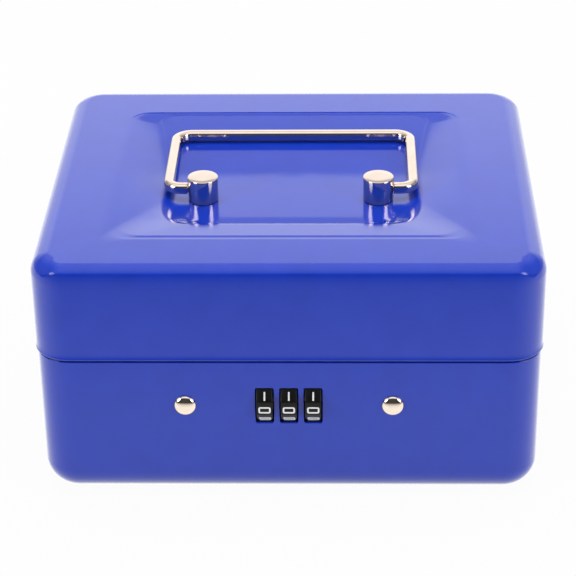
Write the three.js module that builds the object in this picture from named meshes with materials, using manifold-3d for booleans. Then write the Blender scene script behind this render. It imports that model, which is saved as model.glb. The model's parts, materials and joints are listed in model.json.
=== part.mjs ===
// Medication lock box: a drawn steel body, a lid that telescopes over it on two rear hinges, a folding square-wire
// handle on two posts in the lid's recess, and a combination lock of three dials riveted behind the front wall.
// Millimetres. +X is to the right of someone who faces the front, +Y to the back, +Z up.
// The origin is the centre of the flat underside.
import * as THREE from "three";
import { ConvexGeometry } from "three/addons/geometries/ConvexGeometry.js";
import { mergeVertices } from "three/addons/utils/BufferGeometryUtils.js";
import Module from "manifold-3d";

const wasm = await Module();
wasm.setup();

// Sheet steel box
const lidWidth = 152;
const lidDepth = 130;
const boxHeight = 79.5;
const lidSkirt = 31.2; // how far the lid's sides come down from its top
const sheet = 0.8;
const lidGap = 0.25; // between the lid's inside and the body's outside
const lap = 6.2; // how far the body stands up inside the lid
const cornerRadius = 11;
const topEdgeRadius = 6;
const bottomEdgeRadius = 9;
const hemWidth = 2; // the body's rim, folded over inwards
const hemDrop = 4;
const shoulderStep = 0.6; // how far the body's sides stand out past its rim
const shoulderRise = 0.9; // height over which they step in to it

// Gaps
const seat = 0.1; // between faces that rest on each other
const slack = 0.1; // round a pin, stud or shank in its hole
const clear = 0.3; // beside a piece that turns or slides
const overrun = 1; // how far a cutter passes the face that it cuts

// Recess in the lid's top
const recessWidth = 108;
const recessDepth = 91.8;
const recessSink = 3;
const recessStep = 0.7; // of that, the drop at the rear edge, before the long ramp
const recessSideRun = 13; // width of the slope at each side
const recessFrontRun = 21.4; // and at the front
const recessRearRun = 1.2;
const rampRun = 41.2;
const recessCorner = 8;
const floorCorner = 5;
const floorInset = 4.3; // how much narrower the level floor is than the ramp, at each side
const recessOffset = -1.1; // the recess's centre, from the lid's centre

// Handle and its posts
const wire = 3.2; // square wire, across its flats
const wireEdge = 0.7; // rounding of the wire's edges
const handleWidth = 79;
const handleReach = 40; // pivot to the centre of the far bar
const handleFarBend = 5; // radius of the wire's centre line
const handleNearBend = 3.9;
const journalRadius = 1.2;
const journalLength = 3.6;
const postInset = 12.4; // from the handle's side to the post's centre
const postSetback = -14.2;
const postRadius = 4.7;
const postHeight = 7.8;
const postChamfer = 0.4;
const pivotHeight = 3.8; // above the recess's floor
const studRadius = 1.5;
const washerRadius = 4.2;
const washerThickness = 0.8;
const nutAcross = 5.5;
const nutThickness = 2.4;
const studEnd = 0.7; // stud past the nut

// Rear hinges
const hingeInset = 30; // from the lid's side to a hinge's middle
const hingeLength = 26;
const knuckleShare = 0.4; // of the hinge's length, for the lid's knuckle
const leafHeight = 13;
const leaf = 1;
const barrelRadius = 2.2;
const hingePinRadius = 1;
const pinHeadRadius = 1.6;
const pinHeadLength = 0.6;
const stopLugReach = 1.1; // past the barrel
const stopLugThickness = 1;

// Dials
const dialAcross = 14; // across the flats of the ten-sided dial
const dialSides = 10;
const dialWidth = 4.9;
const dialPitch = 7.28;
const dialCount = 3;
const dialProud = 1.9; // how far a flat stands out of the front wall
const lockDrop = 15.6; // the dials' centre, below the seam
const dialEdge = 0.35; // chamfer of the dial's rim

// Sleeves that carry the dials, and the rod that runs through them
const sleeveRadius = 4.4;
const sleeveWall = 0.7;
const sleeveWeb = 1.2;
const rodRadius = 1.9;
const toothReach = 3.3; // from the rod's axis
const toothLength = 1.2;
const toothWidth = 1.2;
const sleeveKeyWidth = 1.2;
const sleeveKeyReach = 0.7;
const boltTravel = 4.4;
const tailRadius = 1.2;
const tailLength = 3.5;
const collarRadius = 2.4;
const collarLength = 0.8;
const boltPlate = 1.5;
const boltPlateHeight = 5;
const noseTip = 1.2; // height of the nose's end
const noseBevel = 1.9; // length over which the plate narrows to it
const noseGap = 0.6; // between the drawn bolt and the strike's tongue

// Lock case and cover
const casePlate = 1.2;
const caseWidth = 55;
const caseAir = 1; // round the dials, inside the case
const earEnd = 5.9; // from a rivet's centre to the ear's end
const earHeight = 14;
const rivetBeside = 3.6; // from the case's side to a rivet's centre
const rivetHeadRadius = 3.3;
const rivetHeadHeight = 1.5;
const rivetRadius = 1.6;
const rivetTailRadius = 2.5;
const rivetTailLength = 1;
const bossRadius = 1.9;
const bossRoot = 0.5; // how deep a boss sinks into the walls beside it
const screwRadius = 0.8;
const screwLength = 6;
const screwHeadRadius = 1.7;
const screwHeadHeight = 1;

// Springs and the lever that frees the dials for a new code
const springWire = 0.5;
const springCoilRadius = 2; // of the wire's centre line
const springTurns = 5;
const detentThickness = 0.4;
const detentFingerWidth = 3;
const leverPlate = 1.2;
const leverLength = 11;
const leverHeight = 6;
const leverTravel = 4;
const leverSetback = -15; // the lever's centre at rest, from the lock's centre
const knobLength = 3.4;
const knobWidth = 2.6;
const knobHeight = 4;

// Strike on the lid
const strikePlate = 1.5;
const strikeFlange = 12; // height and half length of what is welded to the lid
const strikeWidth = 14.5;
const tongueWidth = 7.5;
const tongueDrop = 5; // below the bolt's centre line
const rimAir = 2; // between the strike's shelf and the body's rim

// Facets
const cornerSteps = 6;
const edgeSteps = 5;
const roundSides = 24;
const smallSides = 16;
const bendSteps = 5;

// Places that follow from the sizes above
const seam = boxHeight - lidSkirt;
const rim = seam + lap;
const lockHeight = seam - lockDrop;
const inset = sheet + lidGap - shoulderStep;
const bodyWidth = lidWidth - 2 * inset;
const bodyDepth = lidDepth - 2 * inset;
const bodyCorner = cornerRadius - inset;
const shoulder = seam - clear;
const front = -bodyDepth / 2;
const wallInside = front + sheet;
const floorTop = boxHeight - recessSink;
const floorUnder = floorTop - sheet;
const floorWidth = recessWidth - 2 * recessSideRun;
const floorFront = recessOffset - recessDepth / 2 + recessFrontRun;
const rampBack = recessOffset + recessDepth / 2 - recessRearRun;
const rampFoot = rampBack - rampRun;
const pivotZ = floorTop + pivotHeight;
const postX = handleWidth / 2 - postInset;

const dialApothem = dialAcross / 2;
const dialRadius = dialApothem / Math.cos(Math.PI / dialSides);
const dialY = front - dialProud + dialApothem;
const dialsX = [...Array(dialCount).keys()].map((i) => (i - (dialCount - 1) / 2) * dialPitch);
const toothRest = -sleeveWeb / 2 - clear - toothLength / 2; // from its sleeve's centre
const bearingNear = dialsX.at(-1) + dialWidth / 2 + clear;
const bearingFar = bearingNear + casePlate;
const partitionHalf = (dialPitch - dialWidth) / 2 - clear;
const partitionBack = dialY + toothReach + clear + casePlate;
const webRight = -bearingFar - clear - boltTravel;
const webLeft = webRight - boltPlate;
const plateFront = dialY + dialRadius + caseAir;
const plateBack = plateFront + boltPlate;
const leverFront = plateBack + clear;
const leverBack = leverFront + leverPlate;
const coverFront = leverBack + clear;
const coverBack = coverFront + casePlate;
const caseFront = wallInside + seat;
const caseInside = caseFront + casePlate;
const caseBack = coverFront - seat;
const caseHalf = caseWidth / 2;
const rivetX = caseHalf + rivetBeside;
const earHalf = rivetX + earEnd;
const caseInnerHalf = caseHalf - casePlate;
const caseInnerRise = dialRadius + caseAir;
const caseRise = caseInnerRise + casePlate;
const rodEnd = bearingFar + clear;
const tongueLeft = rodEnd + clear + noseGap;
const tongueRight = tongueLeft + strikePlate;
const tongueBack = coverFront - clear;
const tongueFront = tongueBack - tongueWidth;
const noseEnd = tongueLeft - noseGap;
const shelfLow = rim + rimAir;

const hingeY = lidDepth / 2 + clear + barrelRadius;
const hingeX = lidWidth / 2 - hingeInset;
const lidKnuckle = hingeLength * knuckleShare;
const boreRadius = hingePinRadius + slack;

// Shapes

// A box between two corners.
function block(x0, x1, y0, y1, z0, z1) {
  const shape = new THREE.BoxGeometry(x1 - x0, y1 - y0, z1 - z0);
  return shape.translate((x0 + x1) / 2, (y0 + y1) / 2, (z0 + z1) / 2);
}

// A cylinder along X, Y or Z, from one place on that axis to another, through (u, v) on the other two axes.
function rod(axis, radius, from, to, u, v, sides = roundSides) {
  const shape = new THREE.CylinderGeometry(radius, radius, to - from, sides);
  const middle = (from + to) / 2;
  if (axis === "x") return shape.rotateZ(-Math.PI / 2).translate(middle, u, v);
  if (axis === "y") return shape.translate(u, middle, v);
  return shape.rotateX(Math.PI / 2).translate(u, v, middle);
}

// A body of revolution along X, Y or Z. Its profile is [place on the axis, radius] and starts and ends on the axis.
function turned(axis, profile, u, v, sides = roundSides) {
  const points = profile.map(([along, radius]) => new THREE.Vector2(radius, along));
  const shape = new THREE.LatheGeometry(points, sides);
  if (axis === "x") return shape.rotateZ(-Math.PI / 2).translate(0, u, v);
  if (axis === "y") return shape.translate(u, 0, v);
  return shape.rotateX(Math.PI / 2).translate(u, v, 0);
}

// A prism along X whose outline is a list of [y, z].
function prismX(outline, from, to) {
  const shape = new THREE.Shape(outline.map(([y, z]) => new THREE.Vector2(y, z)));
  const made = new THREE.ExtrudeGeometry(shape, { depth: to - from, bevelEnabled: false });
  return made.applyMatrix4(new THREE.Matrix4().set(0, 0, 1, from, 1, 0, 0, 0, 0, 1, 0, 0, 0, 0, 0, 1));
}

// A rounded rectangle, anticlockwise seen from above, at one height.
function ring(width, depth, radius, z, centreY = 0) {
  const least = sheet / 4;
  const r = Math.max(least, Math.min(radius, width / 2, depth / 2));
  const points = [];
  for (let corner = 0; corner < 4; corner++) {
    const right = corner === 0 || corner === 3;
    const back = corner < 2;
    const x = (right ? 1 : -1) * (width / 2 - r);
    const y = (back ? 1 : -1) * (depth / 2 - r) + centreY;
    for (let i = 0; i <= cornerSteps; i++) {
      const angle = (corner + i / cornerSteps) * (Math.PI / 2);
      points.push(new THREE.Vector3(x + r * Math.cos(angle), y + r * Math.sin(angle), z));
    }
  }
  return points;
}

// A closed skin over rings of equal length, with a flat fan over the first and the last. Seen from the end that the
// rings run to, each ring goes anticlockwise.
function skin(rings) {
  const count = rings[0].length;
  const positions = rings.flat().flatMap((p) => p.toArray());
  const index = [];
  for (let r = 0; r < rings.length - 1; r++) {
    for (let i = 0; i < count; i++) {
      const a = r * count + i;
      const b = r * count + ((i + 1) % count);
      index.push(a, b, a + count, b, b + count, a + count);
    }
  }
  for (const [r, turn] of [[0, -1], [rings.length - 1, 1]]) {
    const middle = rings[r].reduce((sum, p) => sum.add(p), new THREE.Vector3()).divideScalar(count);
    const hub = positions.length / 3;
    positions.push(...middle.toArray());
    for (let i = 0; i < count; i++) {
      const a = r * count + i;
      const b = r * count + ((i + 1) % count);
      index.push(hub, ...(turn > 0 ? [a, b] : [b, a]));
    }
  }
  const shape = new THREE.BufferGeometry();
  shape.setAttribute("position", new THREE.Float32BufferAttribute(positions, 3));
  return shape.setIndex(index);
}

// Joining and cutting

function solid(shape) {
  const bare = shape.index ? shape.toNonIndexed() : shape.clone();
  for (const name of Object.keys(bare.attributes)) {
    if (name !== "position") bare.deleteAttribute(name);
  }
  const merged = mergeVertices(bare, 1e-4);
  const vertProperties = new Float32Array(merged.attributes.position.array);
  const triVerts = new Uint32Array(merged.index.array);
  return new wasm.Manifold(new wasm.Mesh({ numProp: 3, vertProperties, triVerts }));
}

function geometryOf(made) {
  const mesh = made.getMesh();
  const shape = new THREE.BufferGeometry();
  shape.setAttribute("position", new THREE.BufferAttribute(new Float32Array(mesh.vertProperties), 3));
  shape.setIndex(new THREE.BufferAttribute(new Uint32Array(mesh.triVerts), 1));
  shape.computeVertexNormals();
  return shape;
}

// The first shapes joined, with the cutters taken away.
function carve(shapes, cutters = []) {
  let made = solid(shapes[0]);
  for (const shape of shapes.slice(1)) made = made.add(solid(shape));
  for (const cutter of cutters) made = made.subtract(solid(cutter));
  return geometryOf(made);
}

// Materials

const finish = (color, roughness, metalness) => new THREE.MeshStandardMaterial({ color, roughness, metalness });
const bluePaint = finish(0x2836a8, 0.32, 0.0);
const chrome = finish(0xd8d6d2, 0.12, 1.0);
const zincSteel = finish(0xa9abad, 0.38, 1.0);
const blackPlastic = finish(0x111113, 0.3, 0.0);
const brass = finish(0xb8954a, 0.35, 1.0);
const springSteel = finish(0x8d8f92, 0.3, 1.0);
const redPlastic = finish(0xa32420, 0.4, 0.0);

const box = new THREE.Group();

function add(name, shape, material, parent = box) {
  const mesh = new THREE.Mesh(shape, material);
  mesh.name = name;
  parent.add(mesh);
  return mesh;
}

// Body

// The height at which the front wall's slots end, above and below the dials' centre.
function slotRise(depthFromAxis) {
  return Math.sqrt(dialRadius ** 2 - depthFromAxis ** 2) + clear;
}

function bodyShell() {
  const wallRing = (into, z) => ring(bodyWidth - 2 * into, bodyDepth - 2 * into, bodyCorner - into, z);
  const rings = [];
  for (let i = 0; i <= edgeSteps; i++) {
    const angle = (i / edgeSteps) * (Math.PI / 2);
    rings.push(wallRing(bottomEdgeRadius * (1 - Math.sin(angle)), bottomEdgeRadius * (1 - Math.cos(angle))));
  }
  rings.push(wallRing(0, shoulder - shoulderRise));
  rings.push(wallRing(shoulderStep, shoulder));
  const fold = hemWidth / 2;
  for (let i = 0; i <= edgeSteps; i++) {
    const angle = (i / edgeSteps) * Math.PI;
    rings.push(wallRing(shoulderStep + fold * (1 - Math.cos(angle)), rim - fold + fold * Math.sin(angle)));
  }
  rings.push(wallRing(shoulderStep + hemWidth, rim - hemDrop));
  rings.push(wallRing(shoulderStep + sheet, rim - hemDrop - (hemWidth - sheet)));
  rings.push(wallRing(shoulderStep + sheet, shoulder));
  rings.push(wallRing(sheet, shoulder - shoulderRise));
  const innerRadius = bottomEdgeRadius - sheet;
  for (let i = edgeSteps; i >= 0; i--) {
    const angle = (i / edgeSteps) * (Math.PI / 2);
    rings.push(wallRing(sheet + innerRadius * (1 - Math.sin(angle)), sheet + innerRadius * (1 - Math.cos(angle))));
  }
  const slot = slotRise(dialY - wallInside);
  const cutters = dialsX.map((x) =>
    block(
      x - dialWidth / 2 - clear,
      x + dialWidth / 2 + clear,
      front - overrun,
      wallInside + overrun,
      lockHeight - slot,
      lockHeight + slot,
    ),
  );
  for (const side of [-1, 1]) {
    const x = side * rivetX;
    cutters.push(rod("y", rivetRadius + slack, front - overrun, wallInside + overrun, x, lockHeight, smallSides));
  }
  return carve([skin(rings)], cutters);
}

add("body_shell", bodyShell(), bluePaint);

// Lid, with everything that turns with it

// What the press pushes out of the lid's top, moved up by a given amount: a flat floor, a slope at the front and at
// each side, and a long ramp that ends in a small step at the rear.
function recess(lift) {
  const mouth = ring(recessWidth, recessDepth, recessCorner, boxHeight + lift, recessOffset);
  const above = mouth.map((p) => p.clone().setZ(boxHeight + topEdgeRadius));
  const flatDepth = rampFoot - floorFront;
  const flat = ring(floorWidth - 2 * floorInset, flatDepth, floorCorner, floorTop + lift, floorFront + flatDepth / 2);
  const rampDepth = rampBack - floorFront;
  const ramp = ring(floorWidth, rampDepth, floorCorner, floorTop + lift, floorFront + rampDepth / 2)
    .filter((p) => p.y > rampFoot)
    .map((p) => p.setZ(p.z + groundRise(p.y)));
  return new ConvexGeometry([...mouth, ...above, ...flat.filter((p) => p.y < rampFoot), ...ramp]);
}

// How far the recess's floor has risen at a given Y.
function groundRise(y) {
  return (recessSink - recessStep) * Math.max(0, (y - rampFoot) / rampRun);
}

const lid = new THREE.Group();
box.add(lid);

function lidShell() {
  const wallRing = (into, z) => ring(lidWidth - 2 * into, lidDepth - 2 * into, cornerRadius - into, z);
  const edge = (radius, into, top) => {
    const rings = [];
    for (let i = 0; i <= edgeSteps; i++) {
      const angle = (i / edgeSteps) * (Math.PI / 2);
      rings.push(wallRing(into + radius * (1 - Math.sin(angle)), top - radius * (1 - Math.cos(angle))));
    }
    return rings;
  };
  const outside = [wallRing(0, seam), ...edge(topEdgeRadius, 0, boxHeight).reverse()];
  const inside = [
    wallRing(sheet, seam - overrun),
    wallRing(sheet, seam),
    ...edge(topEdgeRadius - sheet, sheet, boxHeight - sheet).reverse(),
  ];
  const holes = [-1, 1].map((side) =>
    rod(
      "z",
      studRadius + slack,
      floorUnder - overrun,
      floorTop + overrun,
      side * postX,
      postSetback,
      smallSides,
    ),
  );
  const hollow = carve([skin(inside)], [recess(-sheet)]);
  return carve([skin(outside)], [recess(0), hollow, ...holes]);
}

add("lid_shell", lidShell(), bluePaint, lid);

// Handle posts: a turned post whose stud passes the lid, and a washer and nut under it

function post(side) {
  const foot = floorTop + seat;
  const nutUnder = floorUnder - 2 * seat - washerThickness - seat - nutThickness;
  const x = side * postX;
  const top = floorTop + postHeight;
  const profile = [
    [nutUnder - studEnd, 0],
    [nutUnder - studEnd, studRadius],
    [foot, studRadius],
    [foot, postRadius],
    [top - postChamfer, postRadius],
    [top, postRadius - postChamfer],
    [top, 0],
  ];
  const inner = x + side * (postRadius - journalLength);
  const outer = x + side * (postRadius + overrun);
  const bore = rod("x", journalRadius + slack, Math.min(inner, outer), Math.max(inner, outer), postSetback, pivotZ);
  return carve([turned("z", profile, x, postSetback)], [bore]);
}

function washer(side) {
  const x = side * postX;
  const top = floorUnder - seat;
  const low = top - washerThickness;
  const hole = rod("z", studRadius + slack, low - overrun, top + overrun, x, postSetback, smallSides);
  return carve([rod("z", washerRadius, low, top, x, postSetback)], [hole]);
}

function nut(side) {
  const x = side * postX;
  const top = floorUnder - 2 * seat - washerThickness;
  const low = top - nutThickness;
  const hexagon = rod("z", nutAcross / 2 / Math.cos(Math.PI / 6), low, top, x, postSetback, 6);
  const hole = rod("z", studRadius + slack, low - overrun, top + overrun, x, postSetback, smallSides);
  return carve([hexagon], [hole]);
}

for (const [side, name] of [[-1, "left"], [1, "right"]]) {
  add("handle_post_" + name, post(side), chrome, lid);
  add("post_washer_" + name, washer(side), zincSteel, lid);
  add("post_nut_" + name, nut(side), zincSteel, lid);
}

// Handle: square wire bent to a frame, with a round journal turned on each end

// The wire's section, in the plane that holds the bend's outward direction and +Z.
function wireSection(centre, outward, half, rounding) {
  const points = [];
  const flat = half - rounding;
  for (let corner = 0; corner < 4; corner++) {
    const u = corner === 0 || corner === 3 ? 1 : -1;
    const v = corner < 2 ? 1 : -1;
    for (let i = 0; i < 3; i++) {
      const angle = (corner + i / 2) * (Math.PI / 2);
      const side = u * flat + rounding * Math.cos(angle);
      const rise = v * flat + rounding * Math.sin(angle);
      points.push(new THREE.Vector3(centre.x + outward.x * side, centre.y + outward.y * side, centre.z + rise));
    }
  }
  return points;
}

// The frame lies level here, its pivot on the X axis, and reaches back along +Y.
function handleBail() {
  const side = (handleWidth - wire) / 2;
  const shoulder = postX + postRadius + clear;
  const tip = shoulder - clear - journalLength + clear;
  const stations = [];
  const bend = (x, y, radius, from) => {
    for (let i = 0; i <= bendSteps; i++) {
      const angle = from + (i / bendSteps) * (Math.PI / 2);
      const outward = new THREE.Vector3(Math.cos(angle), Math.sin(angle), 0);
      stations.push([new THREE.Vector3(x, y, 0).addScaledVector(outward, radius), outward]);
    }
  };
  bend(side - handleNearBend, handleNearBend, handleNearBend, -Math.PI / 2);
  bend(side - handleFarBend, handleReach - handleFarBend, handleFarBend, 0);
  bend(-side + handleFarBend, handleReach - handleFarBend, handleFarBend, Math.PI / 2);
  bend(-side + handleNearBend, handleNearBend, handleNearBend, Math.PI);
  const rings = stations.map(([centre, outward]) => wireSection(centre, outward, wire / 2, wireEdge));
  const down = new THREE.Vector3(0, -1, 0);
  const end = (x, half, rounding) => wireSection(new THREE.Vector3(x, 0, 0), down, half, rounding);
  rings.unshift(end(shoulder, wire / 2, wireEdge));
  rings.unshift(end(shoulder, journalRadius, journalRadius));
  rings.unshift(end(tip, journalRadius, journalRadius));
  rings.push(end(-shoulder, wire / 2, wireEdge));
  rings.push(end(-shoulder, journalRadius, journalRadius));
  rings.push(end(-tip, journalRadius, journalRadius));
  return skin(rings.reverse());
}

// The frame drops back until its far bar lies just above the recess's rear slope.
function handleDroop() {
  const barBack = postSetback + handleReach + wire / 2;
  const ground = floorTop + groundRise(barBack) + clear;
  return Math.asin((pivotZ - (ground + wire / 2)) / handleReach);
}

const handle = new THREE.Group();
handle.position.set(0, postSetback, pivotZ);
handle.rotation.x = -handleDroop();
lid.add(handle);
add("handle_bail", handleBail(), chrome, handle);

// Rear hinges

// Y and Z from the hinge's axis to the box's axes.
const atHinge = (outline) => outline.map(([y, z]) => [hingeY + y, seam + z]);

function bodyLeaf(x) {
  const left = x - hingeLength / 2;
  const right = x + hingeLength / 2;
  const against = bodyDepth / 2 + seat - hingeY;
  const tangent = -barrelRadius;
  const step = tangent - against;
  const plate = prismX(
    atHinge([
      [against, -leafHeight],
      [against + leaf, -leafHeight],
      [against + leaf, -barrelRadius - step],
      [tangent + leaf, -barrelRadius],
      [tangent + leaf, 0],
      [tangent, 0],
      [tangent, -barrelRadius + leaf / 2],
      [against, -barrelRadius - step + leaf / 2],
    ]),
    left,
    right,
  );
  const reach = barrelRadius + clear;
  const gapHalf = lidKnuckle / 2 + clear;
  return carve(
    [plate, rod("x", barrelRadius, left, right, hingeY, seam)],
    [
      rod("x", boreRadius, left - overrun, right + overrun, hingeY, seam, smallSides),
      block(x - gapHalf, x + gapHalf, hingeY - reach - leaf, hingeY + reach, seam - reach, seam + reach),
    ],
  );
}

function lidLeaf(x) {
  const left = x - hingeLength / 2;
  const right = x + hingeLength / 2;
  const against = lidDepth / 2 + seat;
  const plate = block(left, right, against, against + leaf, seam, seam + leafHeight);
  const knuckle = rod("x", barrelRadius, x - lidKnuckle / 2, x + lidKnuckle / 2, hingeY, seam);
  const lug = block(
    x - lidKnuckle / 2,
    x + lidKnuckle / 2,
    hingeY + barrelRadius - leaf / 2,
    hingeY + barrelRadius + stopLugReach,
    seam - stopLugThickness / 2,
    seam + stopLugThickness / 2,
  );
  const reach = barrelRadius + clear;
  const front = hingeY - reach - leaf;
  const back = hingeY + reach;
  const beside = [[left - overrun, x - lidKnuckle / 2], [x + lidKnuckle / 2, right + overrun]];
  return carve(
    [plate, knuckle, lug],
    [
      rod("x", boreRadius, left - overrun, right + overrun, hingeY, seam, smallSides),
      ...beside.map(([from, to]) => block(from, to, front, back, seam - reach, seam + reach)),
    ],
  );
}

function hingePin(x) {
  const end = hingeLength / 2 + seat;
  const profile = [
    [x - end - pinHeadLength, 0],
    [x - end - pinHeadLength, pinHeadRadius / 2],
    [x - end, pinHeadRadius],
    [x - end, hingePinRadius],
    [x + end, hingePinRadius],
    [x + end, pinHeadRadius],
    [x + end + pinHeadLength, pinHeadRadius / 2],
    [x + end + pinHeadLength, 0],
  ];
  return turned("x", profile, hingeY, seam, smallSides);
}

for (const [x, name] of [[-hingeX, "left"], [hingeX, "right"]]) {
  add("hinge_body_leaf_" + name, bodyLeaf(x), bluePaint);
  add("hinge_lid_leaf_" + name, lidLeaf(x), bluePaint, lid);
  add("hinge_pin_" + name, hingePin(x), zincSteel);
}

// Strike: a flange on the lid's front wall, a shelf over the body's rim, and a tongue that hangs into the lock case

function strike() {
  const wall = -lidDepth / 2 + sheet + seat;
  const middle = (tongueLeft + tongueRight) / 2;
  const left = middle - strikeWidth / 2;
  const right = middle + strikeWidth / 2;
  const tongueLow = lockHeight - boltPlateHeight / 2 - tongueDrop / 2;
  const flange = block(left, right, wall, wall + strikePlate, shelfLow, shelfLow + strikeFlange);
  const shelf = block(left, right, wall, tongueBack, shelfLow, shelfLow + strikePlate);
  const tongue = block(tongueLeft, tongueRight, tongueFront, tongueBack, tongueLow, shelfLow + strikePlate);
  const window = block(
    tongueLeft - overrun,
    tongueRight + overrun,
    plateFront - clear,
    plateBack + clear,
    lockHeight - boltPlateHeight / 2 - clear,
    lockHeight + boltPlateHeight / 2 + clear,
  );
  return carve([flange, shelf, tongue], [window]);
}

add("lid_strike", strike(), zincSteel, lid);

// Lock case: a box open to the back, two ears for the rivets, two bearing walls for the rod, and four bosses

const bossesX = [-1, 1].map((side) => side * (caseInnerHalf - bossRadius + bossRoot));
const bossesZ = [-1, 1].map((side) => lockHeight + side * (caseInnerRise - bossRadius + bossRoot));
const bosses = bossesX.flatMap((x) => bossesZ.map((z) => [x, z]));
const hingeToTongue = Math.hypot(hingeY - tongueFront, seam - lockHeight + boltPlateHeight / 2 + tongueDrop / 2);
// How far the tongue's foot comes forward as the lid lifts.
const tongueSwing = hingeToTongue - (hingeY - tongueFront);

// The way for the rod's teeth through a wall or a sleeve's web.
function toothGate(from, to) {
  const half = toothWidth / 2 + clear;
  return block(from, to, dialY, dialY + toothReach + clear, lockHeight - half, lockHeight + half);
}

function lockCase() {
  const low = lockHeight - caseRise;
  const high = lockHeight + caseRise;
  const hollow = block(
    -caseInnerHalf,
    caseInnerHalf,
    caseInside,
    caseBack + overrun,
    low + casePlate,
    high - casePlate,
  );
  const ears = block(
    -earHalf,
    earHalf,
    caseFront,
    caseInside,
    lockHeight - earHeight / 2,
    lockHeight + earHeight / 2,
  );
  const tray = carve([block(-caseHalf, caseHalf, caseFront, caseBack, low, high), ears], [hollow]);
  const into = casePlate / 2; // how deep the walls and bosses root in the case
  const between = dialsX.slice(1).map((x) => x - dialPitch / 2);
  const bearings = [
    [-bearingFar, -bearingNear],
    ...between.map((x) => [x - partitionHalf, x + partitionHalf]),
    [bearingNear, bearingFar],
  ].map(([from, to]) => block(from, to, caseInside - into, partitionBack, low + into, high - into));
  const posts = bosses.map(([x, z]) => rod("y", bossRadius, caseInside - into, caseBack, x, z, smallSides));
  const slot = slotRise(dialY - caseInside);
  const windows = dialsX.map((x) =>
    block(
      x - dialWidth / 2 - clear,
      x + dialWidth / 2 + clear,
      caseFront - overrun,
      caseInside + overrun,
      lockHeight - slot,
      lockHeight + slot,
    ),
  );
  const rodHole = rod("x", rodRadius + slack, -bearingFar - overrun, bearingFar + overrun, dialY, lockHeight);
  const toothHole = toothGate(-bearingFar - overrun, bearingFar + overrun);
  const rivetHoles = [-1, 1].map((side) =>
    rod(
      "y",
      rivetRadius + slack,
      caseFront - overrun,
      caseInside + overrun,
      side * rivetX,
      lockHeight,
      smallSides,
    ),
  );
  const screwHoles = bosses.map(([x, z]) =>
    rod("y", screwRadius + slack, caseBack - screwLength - clear, caseBack + overrun, x, z, smallSides),
  );
  const tongueSlot = block(
    tongueLeft - clear,
    tongueRight + clear,
    tongueFront - tongueSwing - clear,
    caseBack + overrun,
    high - casePlate - overrun,
    high + overrun,
  );
  const cutters = [...windows, rodHole, toothHole, ...rivetHoles, ...screwHoles, tongueSlot];
  return carve([tray, ...bearings, ...posts], cutters);
}

add("lock_case", lockCase(), zincSteel);

// Cover on the case's back, with a slot for the lever's knob

function lockCover() {
  const plate = block(-caseHalf, caseHalf, coverFront, coverBack, lockHeight - caseRise, lockHeight + caseRise);
  const holes = bosses.map(([x, z]) =>
    rod("y", screwRadius + slack, coverFront - overrun, coverBack + overrun, x, z, smallSides),
  );
  const knobSlot = block(
    leverSetback - knobWidth / 2 - clear,
    leverSetback + knobWidth / 2 + clear + leverTravel,
    coverFront - overrun,
    coverBack + overrun,
    lockHeight - knobHeight / 2 - clear,
    lockHeight + knobHeight / 2 + clear,
  );
  return carve([plate], [...holes, knobSlot]);
}

function coverScrew(x, z) {
  const head = coverBack + seat;
  const profile = [
    [head - screwLength, 0],
    [head - screwLength, screwRadius],
    [head, screwRadius],
    [head, screwHeadRadius],
    [head + screwHeadHeight / 2, screwHeadRadius],
    [head + screwHeadHeight, screwHeadRadius / 2],
    [head + screwHeadHeight, 0],
  ];
  return turned("y", profile, x, z, smallSides);
}

add("lock_cover", lockCover(), zincSteel);
bosses.forEach(([x, z], i) => add("cover_screw_" + (i + 1), coverScrew(x, z), zincSteel));

// Rivets: a domed head on the front wall and a spread tail behind the case's ear

function frontRivet(side) {
  const face = front - seat;
  const tail = caseInside + seat;
  const dome = [];
  const domeSteps = 5;
  for (let i = 0; i <= domeSteps; i++) {
    const angle = (i / domeSteps) * (Math.PI / 2);
    dome.push([face - rivetHeadHeight * Math.cos(angle), rivetHeadRadius * Math.sin(angle)]);
  }
  const profile = [
    ...dome,
    [face, rivetRadius],
    [tail, rivetRadius],
    [tail, rivetTailRadius],
    [tail + rivetTailLength, rivetTailRadius - rivetTailLength / 2],
    [tail + rivetTailLength, 0],
  ];
  return turned("y", profile, side * rivetX, lockHeight);
}

add("front_rivet_left", frontRivet(-1), chrome);
add("front_rivet_right", frontRivet(1), chrome);

// Dials: ten flats, the first facing the front, each on a sleeve that it turns with

function dial(x) {
  const corners = [...Array(dialSides).keys()].map((i) => (i + 1 / 2) * ((2 * Math.PI) / dialSides));
  const outline = (radius) => corners.map((a) => [dialY - radius * Math.cos(a), lockHeight - radius * Math.sin(a)]);
  const rings = [
    [-dialWidth / 2, dialRadius - dialEdge],
    [-dialWidth / 2 + dialEdge, dialRadius],
    [dialWidth / 2 - dialEdge, dialRadius],
    [dialWidth / 2, dialRadius - dialEdge],
  ].map(([along, radius]) => outline(radius).map(([y, z]) => new THREE.Vector3(x + along, y, z)));
  const from = x - dialWidth / 2 - overrun;
  const to = x + dialWidth / 2 + overrun;
  const keyHalf = sleeveKeyWidth / 2 + clear;
  return carve(
    [skin(rings)],
    [
      rod("x", sleeveRadius + clear, from, to, dialY, lockHeight),
      block(
        from,
        to,
        dialY - keyHalf,
        dialY + keyHalf,
        lockHeight,
        lockHeight + sleeveRadius + sleeveKeyReach + clear,
      ),
    ],
  );
}

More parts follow.
